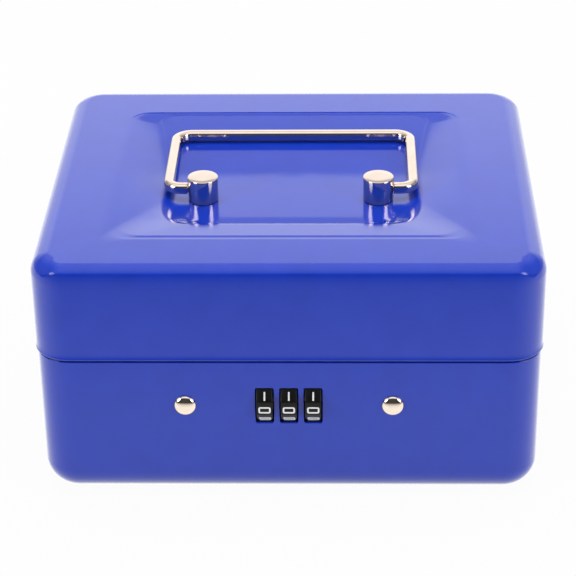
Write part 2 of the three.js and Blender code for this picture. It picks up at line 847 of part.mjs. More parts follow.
function sleeve(x) {
  const end = dialWidth / 2;
  const web = sleeveWeb / 2;
  const inner = sleeveRadius - sleeveWall;
  const key = block(
    x - end,
    x + end,
    dialY - sleeveKeyWidth / 2,
    dialY + sleeveKeyWidth / 2,
    lockHeight + sleeveRadius - sleeveWall / 2,
    lockHeight + sleeveRadius + sleeveKeyReach,
  );
  return carve(
    [rod("x", sleeveRadius, x - end, x + end, dialY, lockHeight), key],
    [
      rod("x", inner, x - end - overrun, x - web, dialY, lockHeight),
      rod("x", inner, x + web, x + end + overrun, dialY, lockHeight),
      rod("x", rodRadius + slack, x - end, x + end, dialY, lockHeight),
      toothGate(x - web - overrun, x + web + overrun),
    ],
  );
}

dialsX.forEach((x, i) => {
  add("dial_" + (i + 1), dial(x), blackPlastic);
  add("dial_sleeve_" + (i + 1), sleeve(x), brass);
});

// Bolt: a rod with a tooth for each sleeve, and a plate that carries it and ends in the nose that holds the strike

function boltRod() {
  const shoulder = webLeft - seat;
  const profile = [
    [shoulder - collarLength - tailLength, 0],
    [shoulder - collarLength - tailLength, tailRadius],
    [shoulder - collarLength, tailRadius],
    [shoulder - collarLength, collarRadius],
    [shoulder, collarRadius],
    [shoulder, rodRadius],
    [rodEnd, rodRadius],
    [rodEnd, 0],
  ];
  const teeth = dialsX.map((x) =>
    block(
      x + toothRest - toothLength / 2,
      x + toothRest + toothLength / 2,
      dialY,
      dialY + toothReach,
      lockHeight - toothWidth / 2,
      lockHeight + toothWidth / 2,
    ),
  );
  return carve([turned("x", profile, dialY, lockHeight), ...teeth]);
}

function boltPlateShape() {
  const half = boltPlateHeight / 2;
  const outline = [
    [webLeft, half],
    [noseEnd - noseBevel, half],
    [noseEnd, noseTip / 2],
  ];
  const plate = new ConvexGeometry(
    [plateFront, plateBack].flatMap((y) =>
      outline.flatMap(([x, z]) => [-z, z].map((rise) => new THREE.Vector3(x, y, lockHeight + rise))),
    ),
  );
  const web = block(
    webLeft,
    webRight,
    dialY - collarRadius,
    plateBack,
    lockHeight - collarRadius,
    lockHeight + collarRadius,
  );
  const hole = rod("x", rodRadius + slack, webLeft - overrun, webRight + overrun, dialY, lockHeight);
  return carve([plate, web], [hole]);
}

add("bolt_rod", boltRod(), zincSteel);
add("bolt_plate", boltPlateShape(), zincSteel);

// Coil spring round the rod's tail, between its collar and the case's end wall

const springFrom = -caseInnerHalf + seat + springWire / 2;
const springTo = webLeft - seat - collarLength - seat - springWire / 2;

function springPath() {
  const points = [];
  const steps = springTurns * 8;
  for (let i = 0; i <= steps; i++) {
    const angle = (i / steps) * springTurns * 2 * Math.PI;
    const x = springFrom + (springTo - springFrom) * (i / steps);
    const y = dialY + springCoilRadius * Math.cos(angle);
    points.push(new THREE.Vector3(x, y, lockHeight + springCoilRadius * Math.sin(angle)));
  }
  return points;
}

function boltSpring() {
  const points = springPath();
  const axis = new THREE.Vector3(1, 0, 0);
  const sides = 5;
  const rings = points.map((point) => {
    const outward = new THREE.Vector3(0, point.y - dialY, point.z - lockHeight).normalize();
    const section = [];
    for (let k = 0; k < sides; k++) {
      const angle = (k / sides) * 2 * Math.PI;
      const place = point.clone().addScaledVector(outward, (springWire / 2) * Math.cos(angle));
      section.push(place.addScaledVector(axis, (-springWire / 2) * Math.sin(angle)));
    }
    return section;
  });
  return skin(rings);
}

// The least air between two turns of the spring, measured on the points of its path.
function leastSpringGap() {
  const points = springPath();
  let least = Infinity;
  points.forEach((a, i) => {
    for (const b of points.slice(i + 5)) least = Math.min(least, a.distanceTo(b));
  });
  return least - springWire;
}

add("bolt_spring", boltSpring(), springSteel);
console.log("least gap between the spring's turns: " + leastSpringGap().toFixed(2) + " mm");

// Detent spring: a strip on the case's floor with a bowed finger under each dial

function detentSpring() {
  const low = lockHeight - caseInnerRise + seat;
  const high = low + detentThickness;
  const crest = lockHeight - dialRadius - seat;
  const back = plateFront - clear;
  const stripFront = partitionBack + clear;
  const strip = block(dialsX[0] - dialWidth / 2, dialsX.at(-1) + dialWidth / 2, stripFront, back, low, high);
  const fingers = dialsX.map((x) =>
    prismX(
      [
        [stripFront + detentThickness, low],
        [stripFront + detentThickness, high],
        [dialY, crest],
        [caseInside + clear, high],
        [caseInside + clear, low],
        [dialY, crest - detentThickness],
      ],
      x - detentFingerWidth / 2,
      x + detentFingerWidth / 2,
    ),
  );
  return carve([strip, ...fingers]);
}

add("detent_spring", detentSpring(), springSteel);

// Lever that frees the dials from their sleeves for a new code: a plate inside the cover and a knob through its slot

function resetLever() {
  const half = leverHeight / 2;
  const plate = block(
    leverSetback - leverLength / 2,
    leverSetback + leverLength / 2,
    leverFront,
    leverBack,
    lockHeight - half,
    lockHeight + half,
  );
  const knob = block(
    leverSetback - knobWidth / 2,
    leverSetback + knobWidth / 2,
    leverFront,
    coverBack + knobLength,
    lockHeight - knobHeight / 2,
    lockHeight + knobHeight / 2,
  );
  return carve([plate, knob]);
}

add("reset_lever", resetLever(), redPlastic);

export default box;
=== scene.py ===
"""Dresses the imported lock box: smooth shells, polished wire, numbered dials, and the finish of every surface."""

import json
import logging
import math
from dataclasses import dataclass, replace
from enum import Enum
from typing import Callable, Sequence

import bmesh
import bpy
from mathutils import Matrix, Vector


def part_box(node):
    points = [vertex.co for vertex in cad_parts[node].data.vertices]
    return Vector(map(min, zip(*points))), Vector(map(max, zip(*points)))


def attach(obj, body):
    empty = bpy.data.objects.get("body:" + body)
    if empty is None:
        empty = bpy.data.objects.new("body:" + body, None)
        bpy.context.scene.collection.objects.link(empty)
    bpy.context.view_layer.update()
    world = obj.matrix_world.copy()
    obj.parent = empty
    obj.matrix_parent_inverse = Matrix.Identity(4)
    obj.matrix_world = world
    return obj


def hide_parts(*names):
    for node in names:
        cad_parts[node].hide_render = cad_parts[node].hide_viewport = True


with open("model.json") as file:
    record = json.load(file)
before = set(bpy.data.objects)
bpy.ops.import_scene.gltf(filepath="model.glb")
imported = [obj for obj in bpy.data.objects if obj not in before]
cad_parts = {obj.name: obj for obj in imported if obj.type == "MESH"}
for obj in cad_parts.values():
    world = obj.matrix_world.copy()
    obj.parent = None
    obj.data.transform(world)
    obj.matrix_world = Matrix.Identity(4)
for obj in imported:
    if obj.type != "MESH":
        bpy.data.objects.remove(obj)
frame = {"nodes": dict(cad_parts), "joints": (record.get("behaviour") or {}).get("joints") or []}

logging.basicConfig(level=logging.INFO, format="%(message)s")
LOG = logging.getLogger("lock_box")

Loop = list[Vector]
Pair = tuple[float, float]
Knot = tuple[float, float, float]
Place = tuple[float, float, float]
Colour = tuple[float, float, float]
Piece = bpy.types.Object
Tree = bpy.types.NodeTree
Node = bpy.types.Node
Socket = bpy.types.NodeSocket

MM_PER_METRE = 1000.0
HALF_TURN = 180.0


class Side(Enum):
    """The two sides that paired pieces come in."""

    LEFT = -1
    RIGHT = 1

    @property
    def word(self) -> str:
        """The side's name as node names spell it."""
        return self.name.lower()


class Axis(Enum):
    """The axis that a turned piece is turned about."""

    X = 0
    Y = 1
    Z = 2

    def place(self, along: float, u: float, v: float) -> Vector:
        """Puts a point beside the axis.

        Args:
            along: its place on the axis.
            u: its place on the first of the other two axes.
            v: its place on the second.

        Returns:
            The point.
        """
        values = [u, v]
        values.insert(self.value, along)
        return Vector(values)


# Bench work


class Bench:
    """Blender's modelling operators, one piece on the bench at a time.

    Attributes:
        START_RADIUS: radius of the circle that a loft starts from, before its points are placed.
        WELD: the distance at which the corners of a CAD node merge.
        FLAT: the angle below which two of its faces are one.
    """

    START_RADIUS = 0.01
    WELD = 2e-6
    FLAT = math.radians(0.5)

    @staticmethod
    def clear() -> None:
        """Leaves nothing selected, in object mode."""
        if bpy.context.object and bpy.context.object.mode != "OBJECT":
            bpy.ops.object.mode_set(mode="OBJECT")
        bpy.ops.object.select_all(action="DESELECT")

    @staticmethod
    def take(piece: Piece) -> None:
        """Selects one piece and makes it the active one.

        Args:
            piece: the piece to work on.
        """
        Bench.clear()
        piece.select_set(True)
        bpy.context.view_layer.objects.active = piece

    @staticmethod
    def loft(name: str, loops: Sequence[Loop], cap_start: bool = True, cap_end: bool = True) -> Piece:
        """Extrudes an edge loop from station to station.

        Args:
            name: the piece's name.
            loops: the stations, each with the same number of points.
            cap_start: whether the first loop is filled.
            cap_end: whether the last loop is filled.

        Returns:
            The piece, with its place in its mesh.
        """
        Bench.clear()
        bpy.ops.mesh.primitive_circle_add(vertices=len(loops[0]), radius=Bench.START_RADIUS, fill_type="NOTHING")
        piece = bpy.context.object
        piece.name = name
        piece.data.name = name
        bpy.ops.object.mode_set(mode="EDIT")
        bpy.ops.mesh.select_mode(type="VERT")
        bpy.ops.mesh.select_all(action="SELECT")
        mesh = bmesh.from_edit_mesh(piece.data)
        place = mesh.verts.layers.int.new("place")
        row = mesh.verts.layers.int.new("row")
        for number, vert in enumerate(mesh.verts):
            vert[place] = number
            vert[row] = 0
            vert.co = loops[0][number]
        bmesh.update_edit_mesh(piece.data)
        for station, points in enumerate(loops[1:], start=1):
            bpy.ops.mesh.extrude_edges_move()
            mesh = bmesh.from_edit_mesh(piece.data)
            place = mesh.verts.layers.int["place"]
            row = mesh.verts.layers.int["row"]
            for vert in mesh.verts:
                if vert.select:
                    vert.co = points[vert[place]]
                    vert[row] = station
            bmesh.update_edit_mesh(piece.data)
        ends = ([0] if cap_start else []) + ([len(loops) - 1] if cap_end else [])
        for end in ends:
            bpy.ops.mesh.select_all(action="DESELECT")
            mesh = bmesh.from_edit_mesh(piece.data)
            row = mesh.verts.layers.int["row"]
            for vert in mesh.verts:
                vert.select = vert[row] == end
            mesh.select_flush(True)
            bmesh.update_edit_mesh(piece.data)
            bpy.ops.mesh.edge_face_add()
        bpy.ops.mesh.select_all(action="SELECT")
        bpy.ops.mesh.normals_make_consistent(inside=False)
        bpy.ops.object.mode_set(mode="OBJECT")
        for spare in ("place", "row"):
            piece.data.attributes.remove(piece.data.attributes[spare])
        return piece

    @staticmethod
    def smooth(piece: Piece, angle: float = 35.0) -> Piece:
        """Shades a piece smooth, apart from edges sharper than an angle.

        Args:
            piece: the piece to shade.
            angle: the least sharp angle, in degrees.

        Returns:
            The same piece.
        """
        Bench.take(piece)
        bpy.ops.object.shade_smooth_by_angle(angle=math.radians(angle))
        return piece

    @staticmethod
    def weigh(piece: Piece) -> Piece:
        """Lets wide faces keep their own normals where narrow ones round them off.

        Args:
            piece: a piece that is shaded smooth.

        Returns:
            The same piece.
        """
        Bench.take(piece)
        step = piece.modifiers.new("weights", "WEIGHTED_NORMAL")
        step.keep_sharp = True
        bpy.ops.object.modifier_apply(modifier=step.name)
        return piece

    @staticmethod
    def bevel(piece: Piece, width: float, angle: float) -> Piece:
        """Rounds every edge that is sharper than an angle, with two faces.

        Args:
            piece: the piece to round.
            width: the rounding's width, in metres.
            angle: the least sharp angle that is rounded, in degrees.

        Returns:
            The same piece.
        """
        Bench.take(piece)
        step = piece.modifiers.new("edges", "BEVEL")
        step.width = width
        step.segments = 2
        step.limit_method = "ANGLE"
        step.angle_limit = math.radians(angle)
        step.use_clamp_overlap = True
        bpy.ops.object.modifier_apply(modifier=step.name)
        return piece

    @staticmethod
    def cut(piece: Piece, cutters: Sequence[Piece]) -> Piece:
        """Takes cutters out of a piece and removes them.

        Args:
            piece: the piece to cut.
            cutters: closed shapes to take away.

        Returns:
            The same piece.
        """
        for cutter in cutters:
            Bench.take(piece)
            step = piece.modifiers.new("cut", "BOOLEAN")
            step.operation = "DIFFERENCE"
            step.solver = "EXACT"
            step.object = cutter
            bpy.ops.object.modifier_apply(modifier=step.name)
            bpy.data.objects.remove(cutter, do_unlink=True)
        return piece

    @staticmethod
    def join(name: str, pieces: Sequence[Piece]) -> Piece:
        """Joins pieces into one.

        Args:
            name: the joined piece's name.
            pieces: what to join.

        Returns:
            The joined piece.
        """
        Bench.take(pieces[0])
        for piece in pieces[1:]:
            piece.select_set(True)
        bpy.ops.object.join()
        pieces[0].name = name
        pieces[0].data.name = name
        return pieces[0]

    @staticmethod
    def copy_node(node: str, name: str, round_edges: float, angle: float = 28.0) -> Piece:
        """Copies a CAD node, merges its loose triangles and rounds its edges.

        Args:
            node: the CAD node.
            name: the new piece's name.
            round_edges: the width of the rounding, in metres.
            angle: the least sharp angle that is rounded, in degrees.

        Returns:
            The new piece.
        """
        source = frame["nodes"][node]
        piece = bpy.data.objects.new(name, source.data.copy())
        bpy.context.scene.collection.objects.link(piece)
        piece.data.name = name
        piece.data.materials.clear()
        Bench.take(piece)
        bpy.ops.object.mode_set(mode="EDIT")
        bpy.ops.mesh.select_all(action="SELECT")
        bpy.ops.mesh.remove_doubles(threshold=Bench.WELD)
        bpy.ops.mesh.customdata_custom_splitnormals_clear()
        bpy.ops.mesh.dissolve_limited(angle_limit=Bench.FLAT)
        bpy.ops.object.mode_set(mode="OBJECT")
        Bench.bevel(piece, round_edges, angle)
        return Bench.smooth(piece)


class Outline:
    """Loops of points that pieces are drawn from.

    Attributes:
        LEAST: the least radius of a rounded corner, in metres.
        FULLEST: the most of a side's half that a rounded corner takes.
    """

    LEAST = 1e-5
    FULLEST = 0.999

    @staticmethod
    def rounded(
        half_x: float,
        half_y: float,
        radius: float,
        height: float,
        centre_y: float = 0.0,
        corner: int = 12,
        along: int = 16,
    ) -> Loop:
        """A level rounded rectangle, anticlockwise from above.

        Args:
            half_x: half its width.
            half_y: half its depth.
            radius: its corners' radius.
            height: its height above the floor.
            centre_y: where its centre is from front to back.
            corner: steps round each corner.
            along: steps along each side.

        Returns:
            The loop's points.
        """
        radius = max(Outline.LEAST, min(radius, half_x * Outline.FULLEST, half_y * Outline.FULLEST))
        arcs = []
        for quarter in range(4):
            x = (half_x - radius) * (1 if quarter in (0, 3) else -1)
            y = (half_y - radius) * (1 if quarter < 2 else -1) + centre_y
            angles = [(quarter + step / corner) * math.pi / 2 for step in range(corner + 1)]
            arcs.append([Vector((x + radius * math.cos(a), y + radius * math.sin(a), height)) for a in angles])
        points = []
        for quarter in range(4):
            points += arcs[quarter]
            start = arcs[quarter][-1]
            end = arcs[(quarter + 1) % 4][0]
            points += [start.lerp(end, step / along) for step in range(1, along)]
        return points

    @staticmethod
    def blend(a: Loop, b: Loop, share: float) -> Loop:
        """The loop part of the way from one loop to another, or past it."""
        return [p.lerp(q, share) for p, q in zip(a, b)]

    @staticmethod
    def circle(axis: Axis, radius: float, along: float, u: float, v: float, steps: int) -> Loop:
        """A circle across an axis.

        Args:
            axis: the axis.
            radius: its radius.
            along: its place on that axis.
            u: its centre on the first of the other two axes.
            v: its centre on the second.
            steps: how many points it has.

        Returns:
            The loop's points.
        """
        points = []
        for step in range(steps):
            angle = 2 * math.pi * step / steps
            points.append(axis.place(along, u + radius * math.cos(angle), v + radius * math.sin(angle)))
        return points

    @staticmethod
    def turned(axis: Axis, profile: Sequence[Pair], u: float, v: float, steps: int) -> list[Loop]:
        """The loops of a turned piece.

        Args:
            axis: the axis it is turned about.
            profile: pairs of place on the axis and radius.
            u: the axis's place on the first of the other two axes.
            v: and on the second.
            steps: how many points go round.

        Returns:
            One loop for each pair.
        """
        return [Outline.circle(axis, radius, along, u, v, steps) for along, radius in profile]


def ease(x: float, width: float) -> float:
    """A ramp that is zero below zero and rises at one in one above it.

    Args:
        x: the place on the ramp's run.
        width: half the width of its soft start.

    Returns:
        The ramp's height.
    """
    if x <= -width:
        return 0.0
    if x >= width:
        return x
    return (x + width) ** 2 / (4 * width)


def middle_of(node: str) -> Vector:
    """The middle of a CAD node's box."""
    low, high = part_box(node)
    return (low + high) / 2


# Node groups that several finishes share


class Groups:
    """Shader node groups, each built once.

    Attributes:
        NOISE_DETAIL: octaves of the noise.
        NOISE_SPAN: the part of the noise's range that is spread over the whole range.
        STROKE_DETAIL: octaves of the drawn marks.
        STROKE_SCALE: how the marks are drawn out.
        built: the groups so far.
    """

    NOISE_DETAIL = 2.0
    NOISE_SPAN = (0.3, 0.7)
    STROKE_DETAIL = 3.0
    STROKE_SCALE = (0.05, 1.0, 1.0)

    built: dict[str, Tree] = {}

    @classmethod
    def get(
        cls, name: str, sockets: Sequence[tuple[str, float]], make: Callable[[Tree, Node, Node], None]
    ) -> Tree:
        """Returns a group, building it on its first use.

        Args:
            name: the group's name.
            sockets: names and defaults of its inputs.
            make: fills the group, given the tree, its input node and its output node.

        Returns:
            The node group, whose one output is called Value.
        """
        if name not in cls.built:
            tree = bpy.data.node_groups.new(name, "ShaderNodeTree")
            for socket, default in sockets:
                made = tree.interface.new_socket(socket, in_out="INPUT", socket_type="NodeSocketFloat")
                made.default_value = default
            tree.interface.new_socket("Value", in_out="OUTPUT", socket_type="NodeSocketFloat")
            make(tree, tree.nodes.new("NodeGroupInput"), tree.nodes.new("NodeGroupOutput"))
            cls.built[name] = tree
        return cls.built[name]

    @staticmethod
    def math(tree: Tree, kind: str, a: Socket | float, b: Socket | float = 0.0) -> Socket:
        """Adds a Math node.

        Args:
            tree: where to add it.
            kind: the operation.
            a: its first input, a socket or a number.
            b: its second input, a socket or a number.

        Returns:
            The node's output.
        """
        node = tree.nodes.new("ShaderNodeMath")
        node.operation = kind
        for socket, value in zip(node.inputs, (a, b)):
            if isinstance(value, Socket):
                tree.links.new(value, socket)
            else:
                socket.default_value = value
        return node.outputs[0]

    @classmethod
    def noise(cls) -> Tree:
        """Noise between two values, by Object coordinates and a grain size in millimetres.

        Returns:
            The node group.
        """

        def make(tree: Tree, source: Node, sink: Node) -> None:
            """Fills the group.

            Args:
                tree: the group's nodes.
                source: its input node.
                sink: its output node.
            """
            coordinates = tree.nodes.new("ShaderNodeTexCoord")
            scale = cls.math(tree, "DIVIDE", MM_PER_METRE, source.outputs["Grain mm"])
            noise = tree.nodes.new("ShaderNodeTexNoise")
            noise.inputs["Detail"].default_value = cls.NOISE_DETAIL
            tree.links.new(coordinates.outputs["Object"], noise.inputs["Vector"])
            tree.links.new(scale, noise.inputs["Scale"])
            remap = tree.nodes.new("ShaderNodeMapRange")
            remap.inputs["From Min"].default_value, remap.inputs["From Max"].default_value = cls.NOISE_SPAN
            tree.links.new(noise.outputs["Fac"], remap.inputs["Value"])
            tree.links.new(source.outputs["Low"], remap.inputs["To Min"])
            tree.links.new(source.outputs["High"], remap.inputs["To Max"])
            tree.links.new(remap.outputs["Result"], sink.inputs["Value"])

        return cls.get("grain", [("Grain mm", 1.0), ("Low", 0.0), ("High", 1.0)], make)

    @classmethod
    def strokes(cls) -> Tree:
        """Fine marks drawn out along X, as brushing or drawing leaves them.

        Returns:
            The node group.
        """

        def make(tree: Tree, source: Node, sink: Node) -> None:
            """Fills the group.

            Args:
                tree: the group's nodes.
                source: its input node.
                sink: its output node.
            """
            coordinates = tree.nodes.new("ShaderNodeTexCoord")
            stretch = tree.nodes.new("ShaderNodeMapping")
            stretch.inputs["Scale"].default_value = cls.STROKE_SCALE
            scale = cls.math(tree, "DIVIDE", MM_PER_METRE, source.outputs["Grain mm"])
            noise = tree.nodes.new("ShaderNodeTexNoise")
            noise.inputs["Detail"].default_value = cls.STROKE_DETAIL
            tree.links.new(coordinates.outputs["Object"], stretch.inputs["Vector"])
            tree.links.new(stretch.outputs["Vector"], noise.inputs["Vector"])
            tree.links.new(scale, noise.inputs["Scale"])
            tree.links.new(noise.outputs["Fac"], sink.inputs["Value"])

        return cls.get("strokes", [("Grain mm", 0.2)], make)


@dataclass(frozen=True)
class Grain:
    """Noise that varies one value over a surface.

    Attributes:
        size_mm: the size of its spots.
        low: the value in its hollows.
        high: the value on its peaks.
    """

    size_mm: float
    low: float
    high: float

    def socket(self, tree: Tree) -> Socket:
        """Adds the noise to a material.

        Args:
            tree: the material's nodes.

        Returns:
            The noise's output.
        """
        node = tree.nodes.new("ShaderNodeGroup")
        node.node_tree = Groups.noise()
        node.inputs["Grain mm"].default_value = self.size_mm
        node.inputs["Low"].default_value = self.low
        node.inputs["High"].default_value = self.high
        return node.outputs["Value"]


@dataclass(frozen=True)
class Finish:
    """A surface's colour, gloss and relief.

    Attributes:
        name: the material's name.
        dark: its colour in the hollows of the tone grain, in linear RGB.
        light: its colour on the peaks.
        tone: the grain between the two colours.
        roughness: the grain of its roughness.
        metallic: how metallic it is.
        coat: weight of a clear coat.
        coat_roughness: roughness of that coat.
        relief_mm: the grain size of its relief.
        relief: the relief's height, in metres.
        strokes_mm: the grain of drawn marks, or zero for none.
        specular: strength of the plain reflection.
        index: refractive index of the surface and of its coat.
    """

    name: str
    dark: Colour
    light: Colour
    tone: Grain
    roughness: Grain
    metallic: float = 0.0
    coat: float = 0.0
    coat_roughness: float = 0.05
    relief_mm: float = 0.8
    relief: float = 0.0
    strokes_mm: float = 0.0
    specular: float = 0.5
    index: float = 1.5

    def material(self) -> bpy.types.Material:
        """Builds the finish's material on its first use.

        Returns:
            The material.
        """
        known = bpy.data.materials.get(self.name)
        if known:
            return known
        material = bpy.data.materials.new(self.name)
        material.use_nodes = True
        tree = material.node_tree
        shader = tree.nodes["Principled BSDF"]
        shader.inputs["Metallic"].default_value = self.metallic
        shader.inputs["Specular IOR Level"].default_value = self.specular
        shader.inputs["IOR"].default_value = self.index
        shader.inputs["Coat IOR"].default_value = self.index
        shader.inputs["Coat Weight"].default_value = self.coat
        shader.inputs["Coat Roughness"].default_value = self.coat_roughness
        mix = tree.nodes.new("ShaderNodeMix")
        mix.data_type = "RGBA"
        mix.inputs["A"].default_value = (*self.dark, 1.0)
        mix.inputs["B"].default_value = (*self.light, 1.0)
        tree.links.new(self.tone.socket(tree), mix.inputs["Factor"])
        tree.links.new(mix.outputs["Result"], shader.inputs["Base Color"])
        tree.links.new(self.roughness.socket(tree), shader.inputs["Roughness"])
        height = None
        if self.relief:
            height = Grain(self.relief_mm, 0.0, 1.0).socket(tree)
        if self.strokes_mm:
            drawn = tree.nodes.new("ShaderNodeGroup")
            drawn.node_tree = Groups.strokes()
            drawn.inputs["Grain mm"].default_value = self.strokes_mm
            height = drawn.outputs["Value"]
        if height is not None:
            bump = tree.nodes.new("ShaderNodeBump")
            bump.inputs["Strength"].default_value = 1.0
            bump.inputs["Distance"].default_value = self.relief
            tree.links.new(height, bump.inputs["Height"])
            tree.links.new(bump.outputs["Normal"], shader.inputs["Normal"])
        return material

    def apply(self, piece: Piece, slot: str) -> None:
        """Puts the finish on a piece.

        Args:
            piece: a new piece.
            slot: the record's material slot; not used.
        """
        piece.data.materials.clear()
        piece.data.materials.append(self.material())

    def paint_node(self, node: str) -> None:
        """Puts the finish on a CAD node that stays."""
        for slot in frame["nodes"][node].material_slots:
            slot.material = self.material()


BLUE_PAINT = Finish(
    "blue_powder_coat", (0.006, 0.039, 0.49), (0.008, 0.044, 0.525), Grain(9.0, 0.0, 1.0), Grain(3.0, 0.13, 0.17),
    coat=1.0, coat_roughness=0.11, relief_mm=2.4, relief=3.4e-6, index=1.33,
)
CHROME = Finish(
    "chrome_plate", (0.72, 0.605, 0.52), (0.77, 0.65, 0.555), Grain(4.0, 0.0, 1.0), Grain(1.5, 0.03, 0.06),
    metallic=1.0, relief_mm=3.0, relief=8e-7,
)
NICKEL = Finish(
    "nickel_plate", (0.77, 0.665, 0.55), (0.82, 0.715, 0.6), Grain(1.5, 0.0, 1.0), Grain(0.8, 0.06, 0.1),
    metallic=1.0, relief_mm=0.9, relief=1e-6,
)
ZINC = Finish(
    "zinc_plated_steel", (0.5, 0.5, 0.5), (0.62, 0.62, 0.61), Grain(1.6, 0.0, 1.0), Grain(0.7, 0.26, 0.42),
    metallic=1.0, strokes_mm=0.18, relief=4e-6,
)
BLACK_PLASTIC = Finish(
    "black_gloss_plastic", (0.003, 0.003, 0.0032), (0.0045, 0.0045, 0.0045), Grain(2.0, 0.0, 1.0),
    Grain(0.7, 0.3, 0.4), relief_mm=0.5, relief=1e-6, specular=0.22,
)
WHITE_INK = Finish(
    "white_ink", (0.93, 0.93, 0.92), (0.98, 0.98, 0.97), Grain(0.4, 0.0, 1.0), Grain(0.3, 0.35, 0.5),
)
BRASS = Finish(
    "turned_brass", (0.55, 0.38, 0.14), (0.66, 0.47, 0.19), Grain(1.4, 0.0, 1.0), Grain(0.5, 0.2, 0.34),
    metallic=1.0, strokes_mm=0.12, relief=3e-6,
)
SPRING_STEEL = Finish(
    "spring_steel", (0.34, 0.35, 0.36), (0.44, 0.45, 0.46), Grain(0.9, 0.0, 1.0), Grain(0.4, 0.2, 0.32),
    metallic=1.0, strokes_mm=0.1, relief=2e-6,
)
RED_PLASTIC = Finish(
    "red_plastic", (0.3, 0.02, 0.016), (0.38, 0.028, 0.022), Grain(1.2, 0.0, 1.0), Grain(0.5, 0.38, 0.5),
    relief_mm=0.3, relief=4e-6,
)


# The box


@dataclass
class Shell:
    """Sizes that the lid and the body share, in metres.

    Attributes:
        sheet: the sheet's thickness.
        corner: radius of the upright corners.
        seam: height of the lid's lower edge.
        crease: the least sharp angle that stays an edge, in degrees.
        hole_steps: points round a drilled hole.
    """

    sheet: float = 0.0008
    corner: float = 0.011
    seam: float = 0.0483
    crease: float = 40.0
    hole_steps: int = 24


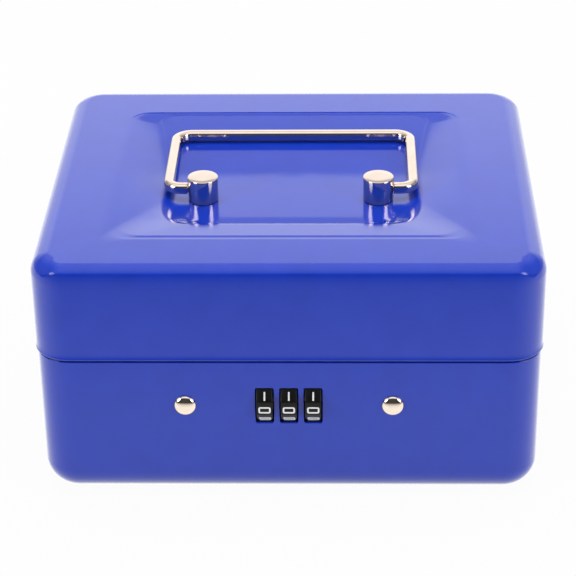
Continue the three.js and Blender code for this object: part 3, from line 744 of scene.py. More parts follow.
@dataclass
class Lid(Shell):
    """The drawn lid with the pressed recess in its top.

    Attributes:
        width: the lid's width.
        depth: its depth.
        top: the height of its top.
        front_bends: for the front edge, the angle in degrees that each bend ends at, and its radius.
        side_bends: the same for the other edges.
        corner_share: the part of a front corner in which the one passes into the other.
        mouth: half the width and depth of the recess's mouth, and the radius of its corners.
        mouth_y: the mouth's middle from front to back.
        floor_widths: places from front to back, and half the width of the recess's floor there.
        floor_front: the front end of that floor.
        floor_back: its back end.
        floor_corner: the radius of its rear corners.
        front_corner: the radius of its front corners.
        dip_start: where the floor starts to dip towards its front end.
        dip: how steep the dip is.
        dip_soft: half the width of the bends at its ends.
        hollow: how deep the side slopes sag near the rear.
        hollow_reach: how far from the rear they sag most.
        sink: how deep the floor lies.
        step: how deep it lies at the rear.
        ramp_foot: where the ramp up to the rear starts.
        ramp_soft: half the width of the bend there.
        side_profile: the course of the side slopes.
        front_profile: the course of the front slope, with the crease near its mouth.
        rear_profile: the course of the rear slope.
        past_foot: how far the slopes are drawn, past their foot at 1, as a share of their run.
        floor_shares: sizes of the floor's loops, as shares of the slopes' innermost loop.
        slope_shares: places of the slopes' loops, as shares of their run from the mouth.
        edge_inset: how far inside the outline the level top ends.
        edge_shares: places of the loops between the mouth and there.
        wall_rises: heights above the seam of the loops down the wall.
        lip: how far inside the wall, and how far above the seam, the loops round its lower lip are.
        inner_rises: heights above the seam of the loops up the wall's inside.
        stud_hole: radius of the holes for the posts' studs.
        hole_span: where their cutters end, from the lid's top.
    """

    width: float = 0.152
    depth: float = 0.130
    top: float = 0.0795
    front_bends: tuple[Pair, ...] = (
        (24.0, 0.001), (52.0, 0.0062), (76.0, 0.0009), (84.0, 0.0085), (88.0, 0.019), (90.0, 0.045),
    )
    side_bends: tuple[Pair, ...] = ((90.0, 0.006),)
    corner_share: float = 0.22
    mouth: tuple[float, float, float] = (0.054, 0.0459, 0.006)
    mouth_y: float = -0.0011
    floor_widths: tuple[Pair, ...] = (
        (-0.05, 0.0365), (-0.03, 0.0368), (-0.003, 0.0382), (0.016, 0.0412), (0.034, 0.0436), (0.05, 0.0462),
    )
    floor_front: float = -0.0308
    floor_back: float = 0.0436
    floor_corner: float = 0.006
    front_corner: float = 0.018
    dip_start: float = -0.0266
    dip: float = 0.038
    dip_soft: float = 0.0005
    hollow: float = 0.00034
    hollow_reach: float = 0.011
    sink: float = 0.003
    step: float = 0.0007
    ramp_foot: float = 0.0024
    ramp_soft: float = 0.003
    side_profile: tuple[Knot, ...] = ((0.0, 0.0, 0.16), (0.76, 0.68, 0.12), (1.0, 1.0, 0.14))
    front_profile: tuple[Knot, ...] = (
        (0.02, 0.0, 0.014), (0.085, 0.032, 0.014), (0.12, 0.032, 0.014), (0.175, 0.018, 0.016),
        (0.76, 0.3, 0.02), (1.0, 1.0, 0.025),
    )
    rear_profile: tuple[Knot, ...] = ((0.0, 0.0, 0.008), (0.03, 0.31, 0.008), (0.72, 0.6, 0.1), (1.0, 1.0, 0.12))
    past_foot: float = 1.32
    floor_shares: tuple[float, ...] = (0.05, 0.2, 0.36, 0.52, 0.68, 0.84)
    slope_shares: tuple[float, ...] = (
        1.32, 1.28, 1.24, 1.2, 1.16, 1.12, 1.08, 1.05, 1.03, 1.015, 1.0, 0.985, 0.97, 0.94, 0.9, 0.87, 0.85,
        0.835, 0.82, 0.805, 0.79, 0.75, 0.7, 0.64, 0.56, 0.48, 0.4, 0.33, 0.27, 0.23, 0.2, 0.19, 0.18, 0.17,
        0.16, 0.15, 0.14, 0.13, 0.12, 0.11, 0.1, 0.09, 0.08, 0.07, 0.06, 0.05, 0.04, 0.035, 0.03, 0.025, 0.02,
        0.015, 0.01, 0.005, 0.0, -0.005, -0.01, -0.02, -0.04, -0.07, -0.1, -0.13, -0.16,
    )
    edge_inset: float = 0.0063
    edge_shares: tuple[float, ...] = (0.3, 0.7, 0.95, 1.0)
    wall_rises: tuple[float, ...] = (0.018, 0.01, 0.0028, 0.0022)
    lip: tuple[Pair, ...] = (
        (-0.00002, 0.0016), (-0.00007, 0.0011), (-0.00014, 0.00075), (-0.0002, 0.0005), (-0.00021, 0.00036),
        (-0.00017, 0.0002), (-0.00005, 0.00007), (0.00012, 0.0), (0.0006, 0.0), (0.0008, 0.0002),
    )
    inner_rises: tuple[float, ...] = (0.0012, 0.012)
    stud_hole: float = 0.0016
    hole_span: Pair = (-0.006, 0.001)

    # The angles of the top edge's loops, in degrees from level.
    EDGE_ANGLES = (
        0, 1.5, 3, 5, 8, 12, 16, 20, 24, 28, 32, 37, 42, 47, 52, 57, 62, 67, 72, 76, 79.5, 82.5, 85, 87, 88.5, 90,
    )
    # What brings x * x * (1 - x) to 1 at its highest.
    HOLLOW_PEAK = 6.75

    def ground(self, y: float) -> float:
        """Finds how high the recess's floor is.

        Args:
            y: the place from front to back.

        Returns:
            The floor's height.
        """
        rise = (self.sink - self.step) / (self.floor_back - self.ramp_foot)
        ramp = rise * ease(y - self.ramp_foot, self.ramp_soft)
        dip = self.dip * (ease(self.dip_start - y, self.dip_soft) - ease(self.floor_front - y, self.dip_soft))
        return self.top - self.sink + ramp - dip

    def floor_reach(self, y: float) -> float:
        """Finds how wide the recess's floor is.

        Args:
            y: the place from front to back.

        Returns:
            Half its width.
        """
        (low, half), *others = self.floor_widths
        for high, wider in others:
            if y <= high:
                share = max(0.0, (y - low) / (high - low))
                return half + (wider - half) * share
            low, half = high, wider
        return half

    @staticmethod
    def course(profile: Sequence[Knot], share: float) -> float:
        """Finds how deep a slope lies.

        Args:
            profile: knots of share of the run, share of the depth, and half the width of the bend there.
            share: how far down its run the place is.

        Returns:
            The share of the depth.
        """
        depth, before = 0.0, 0.0
        for knot, (place, reached, soft) in enumerate(profile):
            steepness = 0.0
            if knot + 1 < len(profile):
                steepness = (profile[knot + 1][1] - reached) / (profile[knot + 1][0] - place)
            depth += (steepness - before) * ease(share - place, soft)
            before = steepness
        return depth

    def foot(self, mouth: Loop) -> Loop:
        """The outline that the recess's slopes end at.

        Args:
            mouth: the outline that they start from.

        Returns:
            The loop's points.
        """
        middle = (self.floor_front + self.floor_back) / 2
        half_y = (self.floor_back - self.floor_front) / 2
        widest = self.floor_reach(self.floor_back)
        rear = Outline.rounded(widest, half_y, self.floor_corner, 0.0, middle)
        front = Outline.rounded(widest, half_y, self.front_corner, 0.0, middle)
        foot = [q if edge.y < self.mouth_y else p for p, q, edge in zip(rear, front, mouth)]
        for point in foot:
            point.x *= self.floor_reach(point.y) / widest
        return foot

    def recess(self, share: float, drop: float) -> Loop:
        """A loop part of the way down the recess.

        Args:
            share: 0 at the recess's mouth and 1 at the foot of its slopes.
            drop: how far below the lid's outside it lies.

        Returns:
            The loop's points.
        """
        half_x, half_y, radius = self.mouth
        mouth = Outline.rounded(half_x, half_y, radius, 0.0, self.mouth_y)
        points = Outline.blend(mouth, self.foot(mouth), share)
        profiles = (self.side_profile, self.front_profile, self.rear_profile)
        side, front, rear = (self.course(profile, share) for profile in profiles)
        for point, edge in zip(points, mouth):
            square = min(1.0, max(0.0, (abs(edge.y - self.mouth_y) - half_y + radius) / radius)) ** 2
            depth = side * (1 - square) + (front if edge.y < self.mouth_y else rear) * square
            back = max(0.0, self.mouth_y + half_y - point.y) / self.hollow_reach
            inside = self.HOLLOW_PEAK * max(0.0, share) ** 2 * max(0.0, 1 - share) * (1 - square)
            hollow = self.hollow * back * math.exp(1 - back) * inside
            point.z = self.top - drop - (self.top - self.ground(point.y)) * depth - hollow
        return points

    def floor(self, share: float, drop: float) -> Loop:
        """A loop on the recess's floor.

        Args:
            share: its size, as a share of the slopes' innermost loop.
            drop: how far below the lid's outside it lies.

        Returns:
            The loop's points.
        """
        middle = Vector((0.0, (self.floor_front + self.floor_back) / 2, 0.0))
        points = [middle.lerp(Vector((p.x, p.y, 0.0)), share) for p in self.recess(self.past_foot, drop)]
        for point in points:
            point.z = self.ground(point.y) - drop
        return points

    def wall(self, into: float, height: float) -> Loop:
        """A loop at a distance inside the lid's outline."""
        return Outline.rounded(self.width / 2 - into, self.depth / 2 - into, self.corner - into, height)

    def top_side(self, drop: float) -> list[Loop]:
        """The loops of the top.

        Args:
            drop: how far below the lid's outside they lie.

        Returns:
            The loops from the middle of the recess's floor to the start of the rounded edge.
        """
        loops = [self.floor(share, drop) for share in self.floor_shares]
        loops += [self.recess(share, drop) for share in self.slope_shares]
        start = self.wall(self.edge_inset, self.top - drop)
        loops += [Outline.blend(loops[-1], start, share) for share in self.edge_shares]
        return loops

    @classmethod
    def turn(cls, bends: Sequence[Pair]) -> list[Pair]:
        """The course of a wall that turns over from level to upright.

        Args:
            bends: pairs of the angle in degrees that a bend ends at, and its radius.

        Returns:
            Pairs of distance inside the wall's outline and distance below the top.
        """
        course = [(0.0, 0.0)]
        for before, after in zip(cls.EDGE_ANGLES, cls.EDGE_ANGLES[1:]):
            radius = next(radius for end, radius in bends if after <= end)
            a, b = math.radians(before), math.radians(after)
            out, down = course[-1]
            course.append((out + radius * (math.sin(b) - math.sin(a)), down + radius * (math.cos(a) - math.cos(b))))
        whole = course[-1][0]
        return [(whole - out, down) for out, down in course]

    def rounded_edge(self, into: float, drop: float) -> list[Loop]:
        """The loops of the rounded top edge, outwards and down: at the front it is slower to turn upright.

        Args:
            into: how far inside the lid's outline the wall below it is.
            drop: how far below the lid's top the edge starts.

        Returns:
            The loops, the last of them upright.
        """
        loops = []
        outline = self.wall(0.0, 0.0)
        front, side = self.turn(self.front_bends), self.turn(self.side_bends)
        shrink = 1 - into / side[0][0]
        for (front_in, front_down), (side_in, side_down) in zip(front, side):
            at_front = self.wall(into + front_in * shrink, self.top - drop - front_down)
            at_side = self.wall(into + side_in * shrink, self.top - drop - side_down)
            loop = []
            for p, q, edge in zip(at_front, at_side, outline):
                share = min(1.0, max(0.0, 1 - (edge.y + self.depth / 2) / (self.corner * self.corner_share)))
                loop.append(q.lerp(p, share * share * (3 - 2 * share)))
            loops.append(loop)
        return loops

    def hole(self, side: Side) -> Piece:
        """Makes the cutter for a post's stud.

        Args:
            side: which post.

        Returns:
            The cutter.
        """
        middle = middle_of("handle_post_" + side.word)
        profile = [(self.top + end, self.stud_hole) for end in self.hole_span]
        return Bench.loft("hole", Outline.turned(Axis.Z, profile, middle.x, middle.y, self.hole_steps))

    def build(self) -> list[Piece]:
        """Models the lid.

        Returns:
            The finished piece.
        """
        outside = self.top_side(0.0) + self.rounded_edge(0.0, 0.0)
        outside += [self.wall(0.0, self.seam + rise) for rise in self.wall_rises]
        lip = [self.wall(into, self.seam + rise) for into, rise in self.lip]
        inside = [self.wall(self.sheet, self.seam + rise) for rise in self.inner_rises]
        inside += self.rounded_edge(self.sheet, self.sheet)[::-1] + self.top_side(self.sheet)[::-1]
        piece = Bench.loft("lid_pressing", outside + lip + inside)
        Bench.cut(piece, [self.hole(side) for side in Side])
        Bench.smooth(piece, self.crease)
        Bench.weigh(piece)
        BLUE_PAINT.apply(piece, "blue_paint")
        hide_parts("lid_shell")
        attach(piece, "lid")
        return [piece]


@dataclass
class Body(Shell):
    """The drawn body with its folded rim and the slots for the dials.

    Attributes:
        inset: how much less its corners' radius is than the lid's.
        shoulder: how far the body steps in under the lid.
        shoulder_drop: how far below the seam it does.
        ledge: how far in, and how far above there, the loops of that step are.
        foot: radius of the bottom edge.
        edge_steps: loops round that edge.
        base_reaches: how far inside the outline the loops of the base are.
        side_heights: heights of the loops up the sides.
        hem: thickness of the folded rim.
        hem_steps: loops over the fold.
        hem_end: how far inside the shoulder, and above the fold's end, the loops under it are.
        hem_drop: how far down the fold reaches.
        jog: how far inside the sheet, and above the step, the loops of the step's inside are.
        inner_height: height of the loop below them.
        slot_room: the gap beside a dial.
        slot_corner: radius of the slots' corners.
        slot_steps: steps round such a corner.
        slot_drop: how far below the dials' middle the slots sit.
        slot_lip: how far behind the face the loops of a slot are, and how much wider they are.
        rivet_hole: radius of the rivets' holes.
        hole_span: where their cutters end, from the face.
    """

    inset: float = 0.00045
    shoulder: float = 0.0013
    shoulder_drop: float = 0.00078
    ledge: tuple[Pair, ...] = (
        (0.0, -0.0006), (0.0, -0.0002), (0.00002, -0.0001), (0.00008, -0.00003), (0.00018, 0.0), (0.0003, -0.00003),
        (0.0006, -0.00012), (0.0011, -0.0002), (0.00125, -0.00015), (0.0013, 0.0),
    )
    foot: float = 0.009
    edge_steps: int = 10
    base_reaches: tuple[float, ...] = (0.05, 0.03, 0.015)
    side_heights: tuple[float, ...] = (0.018, 0.03, 0.042)
    hem: float = 0.002
    hem_steps: int = 8
    hem_end: tuple[Pair, ...] = ((0.002, 0.0003), (0.0018, 0.0), (0.0012, -0.0002), (0.0008, -0.0008))
    hem_drop: float = 0.004
    jog: tuple[Pair, ...] = ((0.0013, -0.0006), (0.001, -0.001), (0.0003, -0.0011), (0.0, -0.0014))
    inner_height: float = 0.03
    slot_room: float = 0.0003
    slot_corner: float = 0.0005
    slot_steps: int = 5
    slot_drop: float = 0.0002
    slot_lip: tuple[Pair, ...] = (
        (-0.0010, 0.0002), (0.0, 0.0002), (0.00002, 0.00013), (0.00006, 0.00007), (0.00012, 0.00003), (0.0002, 0.0),
        (0.002, 0.0),
    )
    rivet_hole: float = 0.0018
    hole_span: Pair = (-0.001, 0.002)

    def wall(self, into: float, height: float) -> Loop:
        """A loop at a distance inside the body's outline."""
        _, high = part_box("body_shell")
        return Outline.rounded(high.x - into, high.y - into, self.corner - self.inset - into, height)

    def bottom_edge(self, into: float, radius: float, floor: float) -> list[Loop]:
        """The loops of the rounded bottom edge, outwards and up.

        Args:
            into: how far inside the outline the wall above it is.
            radius: the edge's radius.
            floor: the height that it starts from.

        Returns:
            The loops, the last of them upright.
        """
        angles = [number / self.edge_steps * math.pi / 2 for number in range(self.edge_steps + 1)]
        return [self.wall(into + radius * (1 - math.sin(a)), floor + radius * (1 - math.cos(a))) for a in angles]

    def slot(self, number: int) -> Piece:
        """Makes the cutter for a dial's slot.

        Args:
            number: 1 for the left dial.

        Returns:
            The cutter.
        """
        face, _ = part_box("body_shell")
        low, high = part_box("dial_%d" % number)
        middle = (low + high) / 2
        half_x = (high.x - low.x) / 2 + self.slot_room
        loops = []
        for deep, wider in self.slot_lip:
            flat = Outline.rounded(
                half_x + wider, Dials.slot_half + wider, self.slot_corner + wider, 0.0, 0.0, self.slot_steps, 1
            )
            loops.append([Vector((middle.x + p.x, face.y + deep, middle.z - self.slot_drop + p.y)) for p in flat])
        return Bench.loft("slot", loops)

    def hole(self, side: Side) -> Piece:
        """Makes the cutter for a rivet's hole.

        Args:
            side: which rivet.

        Returns:
            The cutter.
        """
        face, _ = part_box("body_shell")
        middle = middle_of("front_rivet_" + side.word)
        profile = [(face.y + end, self.rivet_hole) for end in self.hole_span]
        return Bench.loft("hole", Outline.turned(Axis.Y, profile, middle.x, middle.z, self.hole_steps))

    def build(self) -> list[Piece]:
        """Models the body.

        Returns:
            The finished piece.
        """
        _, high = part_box("body_shell")
        rim, sheet, step, fold = high.z, self.sheet, self.shoulder, self.hem / 2
        start = self.seam - self.shoulder_drop
        outside = [self.wall(reach, 0.0) for reach in self.base_reaches]
        outside += self.bottom_edge(0.0, self.foot, 0.0)
        outside += [self.wall(0.0, height) for height in self.side_heights]
        outside += [self.wall(into, start + rise) for into, rise in self.ledge]
        for number in range(self.hem_steps + 1):
            angle = number / self.hem_steps * math.pi
            outside.append(self.wall(step + fold * (1 - math.cos(angle)), rim - fold + fold * math.sin(angle)))
        inside = [self.wall(step + into, rim - self.hem_drop + rise) for into, rise in self.hem_end]
        inside += [self.wall(sheet + into, start + rise) for into, rise in self.jog]
        inside.append(self.wall(sheet, self.inner_height))
        inside += self.bottom_edge(sheet, self.foot - sheet, sheet)[::-1]
        inside += [self.wall(reach, sheet) for reach in self.base_reaches[::-1]]
        piece = Bench.loft("body_pressing", outside + inside)
        Bench.cut(piece, [self.slot(number) for number in Dials.NUMBERS] + [self.hole(side) for side in Side])
        Bench.smooth(piece, self.crease)
        Bench.weigh(piece)
        BLUE_PAINT.apply(piece, "blue_paint")
        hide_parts("body_shell")
        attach(piece, "case")
        return [piece]


@dataclass
class Handle:
    """The folding handle of square wire, and the two posts that it turns in.

    Attributes:
        wire: the wire's thickness.
        round_edge: the radius of its edges.
        edge_steps: steps round such an edge.
        reach: how far the wire's middle is from the pivot to the far bar.
        near_bend: radius of the bends beside the posts.
        far_bend: radius of the bends at the far bar.
        bend_steps: stations round a bend.
        crease: the least sharp angle of the wire that stays an edge, in degrees.
        journal: radius of the round ends that turn in the posts.
        journal_length: how far they reach into the posts.
        journal_round: the radius of a journal's edges, as a share of its own.
        tip: the journal's tip: its length, and its size and its edges' radius as shares of the journal's.
        shoulder_gap: the gap between the wire and a post.
        chamfer: the bevel where the wire meets the journal.
        post_crease: the least sharp angle of a post that stays an edge, in degrees.
        post_steps: points round a post.
        post_edge: radius of a post's top edge.
        post_edge_steps: steps round that edge.
        post_side: how far below the top the side starts.
        post_cap: sizes of the loops on the top, as shares of the post's.
        post_foot: how far above the foot, and inside the side, the loops of a post's foot are.
        seat: the gap between a post and the recess's floor.
        stud: radius of the stud below it.
        stud_tip: length and radius of the stud's tip.
        bore: radius of the hole for the journal.
        bore_span: where it ends, from the post's side.
        bore_steps: points round it.
        small_edge: the rounding of washers and nuts.
    """

    wire: float = 0.0032
    round_edge: float = 0.00098
    edge_steps: int = 6
    reach: float = 0.04
    near_bend: float = 0.0039
    far_bend: float = 0.005
    bend_steps: int = 12
    crease: float = 50.0
    journal: float = 0.0012
    journal_length: float = 0.0034
    journal_round: float = 0.999
    tip: tuple[float, float, float] = (0.0003, 0.8, 0.799)
    shoulder_gap: float = 0.00006
    chamfer: float = 0.0002
    post_crease: float = 40.0
    post_steps: int = 96
    post_edge: float = 0.00025
    post_edge_steps: int = 5
    post_side: float = 0.0006
    post_cap: tuple[float, ...] = (0.5, 0.1)
    post_foot: tuple[Pair, ...] = ((0.0, 0.0004), (0.0001, 0.0001), (0.0003, 0.0))
    seat: float = 0.0001
    stud: float = 0.0014
    stud_tip: Pair = (0.0004, 0.0009)
    bore: float = 0.00132
    bore_span: Pair = (-0.0036, 0.001)
    bore_steps: int = 32
    small_edge: float = 0.00012

    @staticmethod
    def pivot() -> Vector:
        """The place that the handle turns about."""
        return Vector(next(joint for joint in frame["joints"] if joint["name"] == "handle_pivot")["pos_m"])

    def section(self, centre: Vector, outward: Vector, half: float, rounding: float) -> Loop:
        """The wire's section across its run.

        Args:
            centre: the middle of the wire.
            outward: the direction away from the frame's middle.
            half: half the wire's thickness.
            rounding: the radius of its edges.

        Returns:
            The loop's points.
        """
        points = []
        flat = half - rounding
        for corner in range(4):
            u = flat if corner in (0, 3) else -flat
            v = flat if corner < 2 else -flat
            for step in range(self.edge_steps + 1):
                angle = (corner + step / self.edge_steps) * math.pi / 2
                side, rise = u + rounding * math.cos(angle), v + rounding * math.sin(angle)
                points.append(centre + outward * side + Vector((0.0, 0.0, rise)))
        return points

    def bend(self, x: float, y: float, radius: float, start: float) -> list[Loop]:
        """The stations round a quarter bend of the wire.

        Args:
            x: the bend's centre from side to side.
            y: and from the pivot to the far bar.
            radius: its radius.
            start: the direction of its first station, in radians.

        Returns:
            The stations' loops.
        """
        stations = []
        for number in range(self.bend_steps + 1):
            angle = start + number / self.bend_steps * math.pi / 2
            outward = Vector((math.cos(angle), math.sin(angle), 0.0))
            centre = Vector((x, y, 0.0)) + outward * radius
            stations.append(self.section(centre, outward, self.wire / 2, self.round_edge))
        return stations

    def neck(self, shoulder: float) -> list[tuple[float, float, float]]:
        """The stations of a journal.

        Args:
            shoulder: where it meets the wire, from side to side.

        Returns:
            For each station its place, half its thickness and the radius of its edges.
        """
        thick, end = self.wire / 2, shoulder - self.journal_length
        length, size, rounding = self.tip
        return [
            (end, self.journal * size, self.journal * rounding),
            (end + length, self.journal, self.journal * self.journal_round),
            (shoulder, self.journal, self.journal * self.journal_round),
            (shoulder, thick - self.chamfer, self.round_edge),
            (shoulder + self.chamfer, thick, self.round_edge),
        ]

    def bail(self) -> Piece:
        """Models the wire frame in its folded place.

        Returns:
            The finished piece.
        """
        low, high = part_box("handle_bail")
        _, post_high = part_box("handle_post_right")
        half = high.x - self.wire / 2
        forward = Vector((0.0, -1.0, 0.0))
        neck = self.neck(post_high.x + self.shoulder_gap)
        near, far = self.near_bend, self.far_bend
        stations = [self.section(Vector((x, 0.0, 0.0)), forward, size, rounding) for x, size, rounding in neck]
        stations += self.bend(half - near, near, near, -math.pi / 2)
        stations += self.bend(half - far, self.reach - far, far, 0.0)
        stations += self.bend(-half + far, self.reach - far, far, math.pi / 2)
        stations += self.bend(-half + near, near, near, math.pi)
        stations += [self.section(Vector((-x, 0.0, 0.0)), forward, size, rounding) for x, size, rounding in neck[::-1]]
        pivot = self.pivot()
        droop = math.asin((pivot.z - low.z - self.wire / 2) / self.reach)
        place = Matrix.Translation(pivot) @ Matrix.Rotation(-droop, 4, "X")
        piece = Bench.loft("handle_wire", [[place @ point for point in loop] for loop in stations])
        Bench.smooth(piece, self.crease)
        CHROME.apply(piece, "chrome")
        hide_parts("handle_bail")
        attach(piece, "handle")
        return piece

    def post(self, side: Side) -> Piece:
        """Models one post with its stud and the blind hole for the wire's end.

        Args:
            side: which post.

        Returns:
            The finished piece.
        """
        node = "handle_post_" + side.word
        low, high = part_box(node)
        middle = (low + high) / 2
        radius = (high.x - low.x) / 2
        foot = Lid.top - Lid.sink + self.seat
        edge = self.post_edge
        turns = [math.pi / 2 * step / self.post_edge_steps for step in range(self.post_edge_steps + 1)]
        tip_length, tip_radius = self.stud_tip
        profile = [(low.z, tip_radius), (low.z + tip_length, self.stud), (foot, self.stud)]
        profile += [(foot + rise, radius - into) for rise, into in self.post_foot]
        profile += [(high.z - self.post_side, radius)]
        profile += [(high.z - edge * (1 - math.sin(a)), radius - edge * (1 - math.cos(a))) for a in turns]
        profile += [(high.z, radius * share) for share in self.post_cap]
        piece = Bench.loft("post_" + side.word, Outline.turned(Axis.Z, profile, middle.x, middle.y, self.post_steps))
        pivot = self.pivot()
        ends = sorted(middle.x + side.value * (radius + end) for end in self.bore_span)
        bore = [(end, self.bore) for end in ends]
        Bench.cut(piece, [Bench.loft("bore", Outline.turned(Axis.X, bore, pivot.y, pivot.z, self.bore_steps))])
        Bench.smooth(piece, self.post_crease)
        CHROME.apply(piece, "chrome")
        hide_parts(node)
        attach(piece, "lid")
        return piece

    def build(self) -> list[Piece]:
        """Models the handle with both posts, their washers and their nuts.

        Returns:
            The finished pieces.
        """
        pieces = [self.bail()]
        for side in Side:
            pieces.append(self.post(side))
            for node, name in (("post_washer_", "washer_"), ("post_nut_", "nut_")):
                part = Bench.copy_node(node + side.word, name + side.word, self.small_edge)
                ZINC.apply(part, "zinc_steel")
                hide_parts(node + side.word)
                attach(part, "lid")
                pieces.append(part)
        return pieces


@dataclass
class Rivets:
    """The two domed rivets that hold the lock to the front wall.

    Attributes:
        dome: how far the heads stand out.
        steps: loops over a head.
        first: how far from the head's middle the first of them is, in steps.
        rim: how far behind the face, and inside the head, the loops behind the head are.
        shank: radius of the shank.
        tail: how far before the end the loops of the upset tail are, and their radius.
        round_steps: points round a rivet.
        crease: the least sharp angle that stays an edge, in degrees.
    """

    dome: float = 0.0015
    steps: int = 12
    first: float = 0.3
    rim: tuple[Pair, ...] = ((0.00006, 0.00004), (0.0001, 0.0003))
    shank: float = 0.0016
    tail: tuple[Pair, ...] = ((0.001, 0.0016), (0.001, 0.0024), (0.0006, 0.0025), (0.0, 0.0019), (0.0, 0.0003))
    round_steps: int = 64
    crease: float = 40.0

    def build(self) -> list[Piece]:
        """Models both rivets.

        Returns:
            The finished pieces.
        """
        pieces = []
        turns = [math.pi / 2 * (step + self.first) / (self.steps + self.first) for step in range(self.steps + 1)]
        for side in Side:
            node = "front_rivet_" + side.word
            low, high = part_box(node)
            middle = (low + high) / 2
            radius = (high.x - low.x) / 2
            face = low.y + self.dome
            profile = [(face - self.dome * math.cos(a), radius * math.sin(a)) for a in turns]
            profile += [(face + behind, radius - into) for behind, into in self.rim]
            profile += [(face + self.rim[-1][0], self.shank)]
            profile += [(high.y - before, wide) for before, wide in self.tail]
            loops = Outline.turned(Axis.Y, profile, middle.x, middle.z, self.round_steps)
            piece = Bench.loft("rivet_" + side.word, loops)
            Bench.smooth(piece, self.crease)
            NICKEL.apply(piece, "chrome")
            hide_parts(node)
            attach(piece, "case")
            pieces.append(piece)
        return pieces


@dataclass
class Dials:
    """The three numbered dials with the sleeves inside them.

    Attributes:
        facets: how many flat sides a dial has.
        ridge: half the width of the rounded ridge between two of them.
        ridge_shares: places of the points over a ridge, as shares of its run.
        rim: the bevel at a dial's ends.
        rim_soft: how far in the bevel's middle is, as a share of it.
        bore: radius of a dial's hole.
        crease: the least sharp angle of a dial that stays an edge, in degrees.
        slot_half: half the height of a dial's slot.
        stroke: width of a figure's strokes.
        figure: a figure's width and height.
        settle: how far below its facet's middle a figure sits.
        aside: how far to the right of it.
        ink: how far the ink stands out.
        sunk: how far it reaches into the dial.
        bend: how far from a stroke's corner its bend starts, as a share of its width.
        bend_shares: places of the points round such a bend, as shares of its run.
        sleeve_edge: the rounding of a sleeve.
        sleeve_angle: the least sharp angle of a sleeve that is rounded, in degrees.
    """

    facets: int = 10
    ridge: float = 0.00045
    ridge_shares: tuple[float, ...] = (0.0, 0.33, 0.67, 1.0)
    rim: float = 0.00035
    rim_soft: float = 0.3
    bore: float = 0.0048
    crease: float = 30.0
    slot_half: float = 0.0061
    stroke: float = 0.0005
    figure: Pair = (0.0037, 0.0022)
    settle: float = 0.0006
    aside: float = 0.00005
    ink: float = 0.00004
    sunk: float = 0.00001
    bend: float = 0.8
    bend_shares: tuple[float, ...] = (0.0, 0.25, 0.5, 0.75, 1.0)
    sleeve_edge: float = 0.0001
    sleeve_angle: float = 35.0

    # The dials' numbers in the names of their nodes, and their bodies.
    NUMBERS = (1, 2, 3)
    BODIES = ("dial_left", "dial_middle", "dial_right")

    # Points that are nearer to each other than this are one.
    TOUCH = 1e-7

    # Each figure as strokes on a grid that is GRID wide and high, drawn with the figure upright.
    GRID = 2
    FIGURES = {
        0: [[(0, 0), (2, 0), (2, 2), (0, 2), (0, 0)]],
        1: [[(1, -0.5), (1, 2.6)]],
        2: [[(0, 2), (2, 2), (2, 1), (0, 1), (0, 0), (2, 0)]],
        3: [[(0, 2), (2, 2), (2, 0), (0, 0)], [(0.5, 1), (2, 1)]],
        4: [[(0, 2), (0, 1), (2, 1)], [(2, 2), (2, 0)]],
        5: [[(2, 2), (0, 2), (0, 1), (2, 1), (2, 0), (0, 0)]],
        6: [[(2, 2), (0, 2), (0, 0), (2, 0), (2, 1), (0, 1)]],
        7: [[(0, 2), (2, 2), (2, 0)]],
        8: [[(0, 0), (2, 0), (2, 2), (0, 2), (0, 0)], [(0, 1), (2, 1)]],
        9: [[(2, 1), (0, 1), (0, 2), (2, 2), (2, 0), (0, 0)]],
    }

    def outline(self, shrink: float, apothem: float) -> list[Pair]:
        """A dial's outline with rounded ridges.

        Args:
            shrink: how far inside the dial's full size its corners are.
            apothem: the facets' distance from the dial's axis.

        Returns:
            Pairs of distance forward and height from the axis.
        """
        half = math.pi / self.facets
        radius = apothem / math.cos(half) - shrink
        points = []
        for facet in range(self.facets):
            angle = (facet + 0.5) * 2 * math.pi / self.facets
            corner = Vector((radius * math.cos(angle), radius * math.sin(angle)))
            before = Vector((-math.sin(angle - half), math.cos(angle - half)))
            after = Vector((-math.sin(angle + half), math.cos(angle + half)))
            start, end = corner - before * self.ridge, corner + after * self.ridge
            for share in self.ridge_shares:
                point = start.lerp(corner, share).lerp(corner.lerp(end, share), share)
                points.append((point.x, point.y))
        return points

    def hole(self) -> list[Pair]:
        """The outline of a dial's hole, with as many points as the outline round it.

        Returns:
            Pairs of distance forward and height from the axis.
        """
        count = self.facets * len(self.ridge_shares)
        first = math.pi / self.facets
        angles = [first + 2 * math.pi * step / count for step in range(count)]
        return [(self.bore * math.cos(a), self.bore * math.sin(a)) for a in angles]

    def wheel(self, number: int) -> Piece:
        """Models one dial without its figures.

        Args:
            number: 1 for the left dial.

        Returns:
            The piece.
        """
        low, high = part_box("dial_%d" % number)
        middle = (low + high) / 2
        half = (high.x - low.x) / 2
        apothem = (high.y - low.y) / 2
        soft = self.rim * self.rim_soft
        edge = [(half, self.rim), (half - soft, soft), (half - self.rim, 0.0)]
        stations = [(-half, self.hole())]
        stations += [(-along, self.outline(shrink, apothem)) for along, shrink in edge]
        stations += [(along, self.outline(shrink, apothem)) for along, shrink in edge[::-1]]
        stations += [(half, self.hole()), (-half, self.hole())]
        loops = []
        for along, flat in stations:
            loops.append([Vector((middle.x + along, middle.y - forward, middle.z + up)) for forward, up in flat])
        piece = Bench.loft("dial_wheel_%d" % number, loops, False, False)
        Bench.take(piece)
        bpy.ops.object.mode_set(mode="EDIT")
        bpy.ops.mesh.select_all(action="SELECT")
        bpy.ops.mesh.remove_doubles(threshold=self.TOUCH)
        bpy.ops.mesh.normals_make_consistent(inside=False)
        bpy.ops.object.mode_set(mode="OBJECT")
        return Bench.smooth(piece, self.crease)

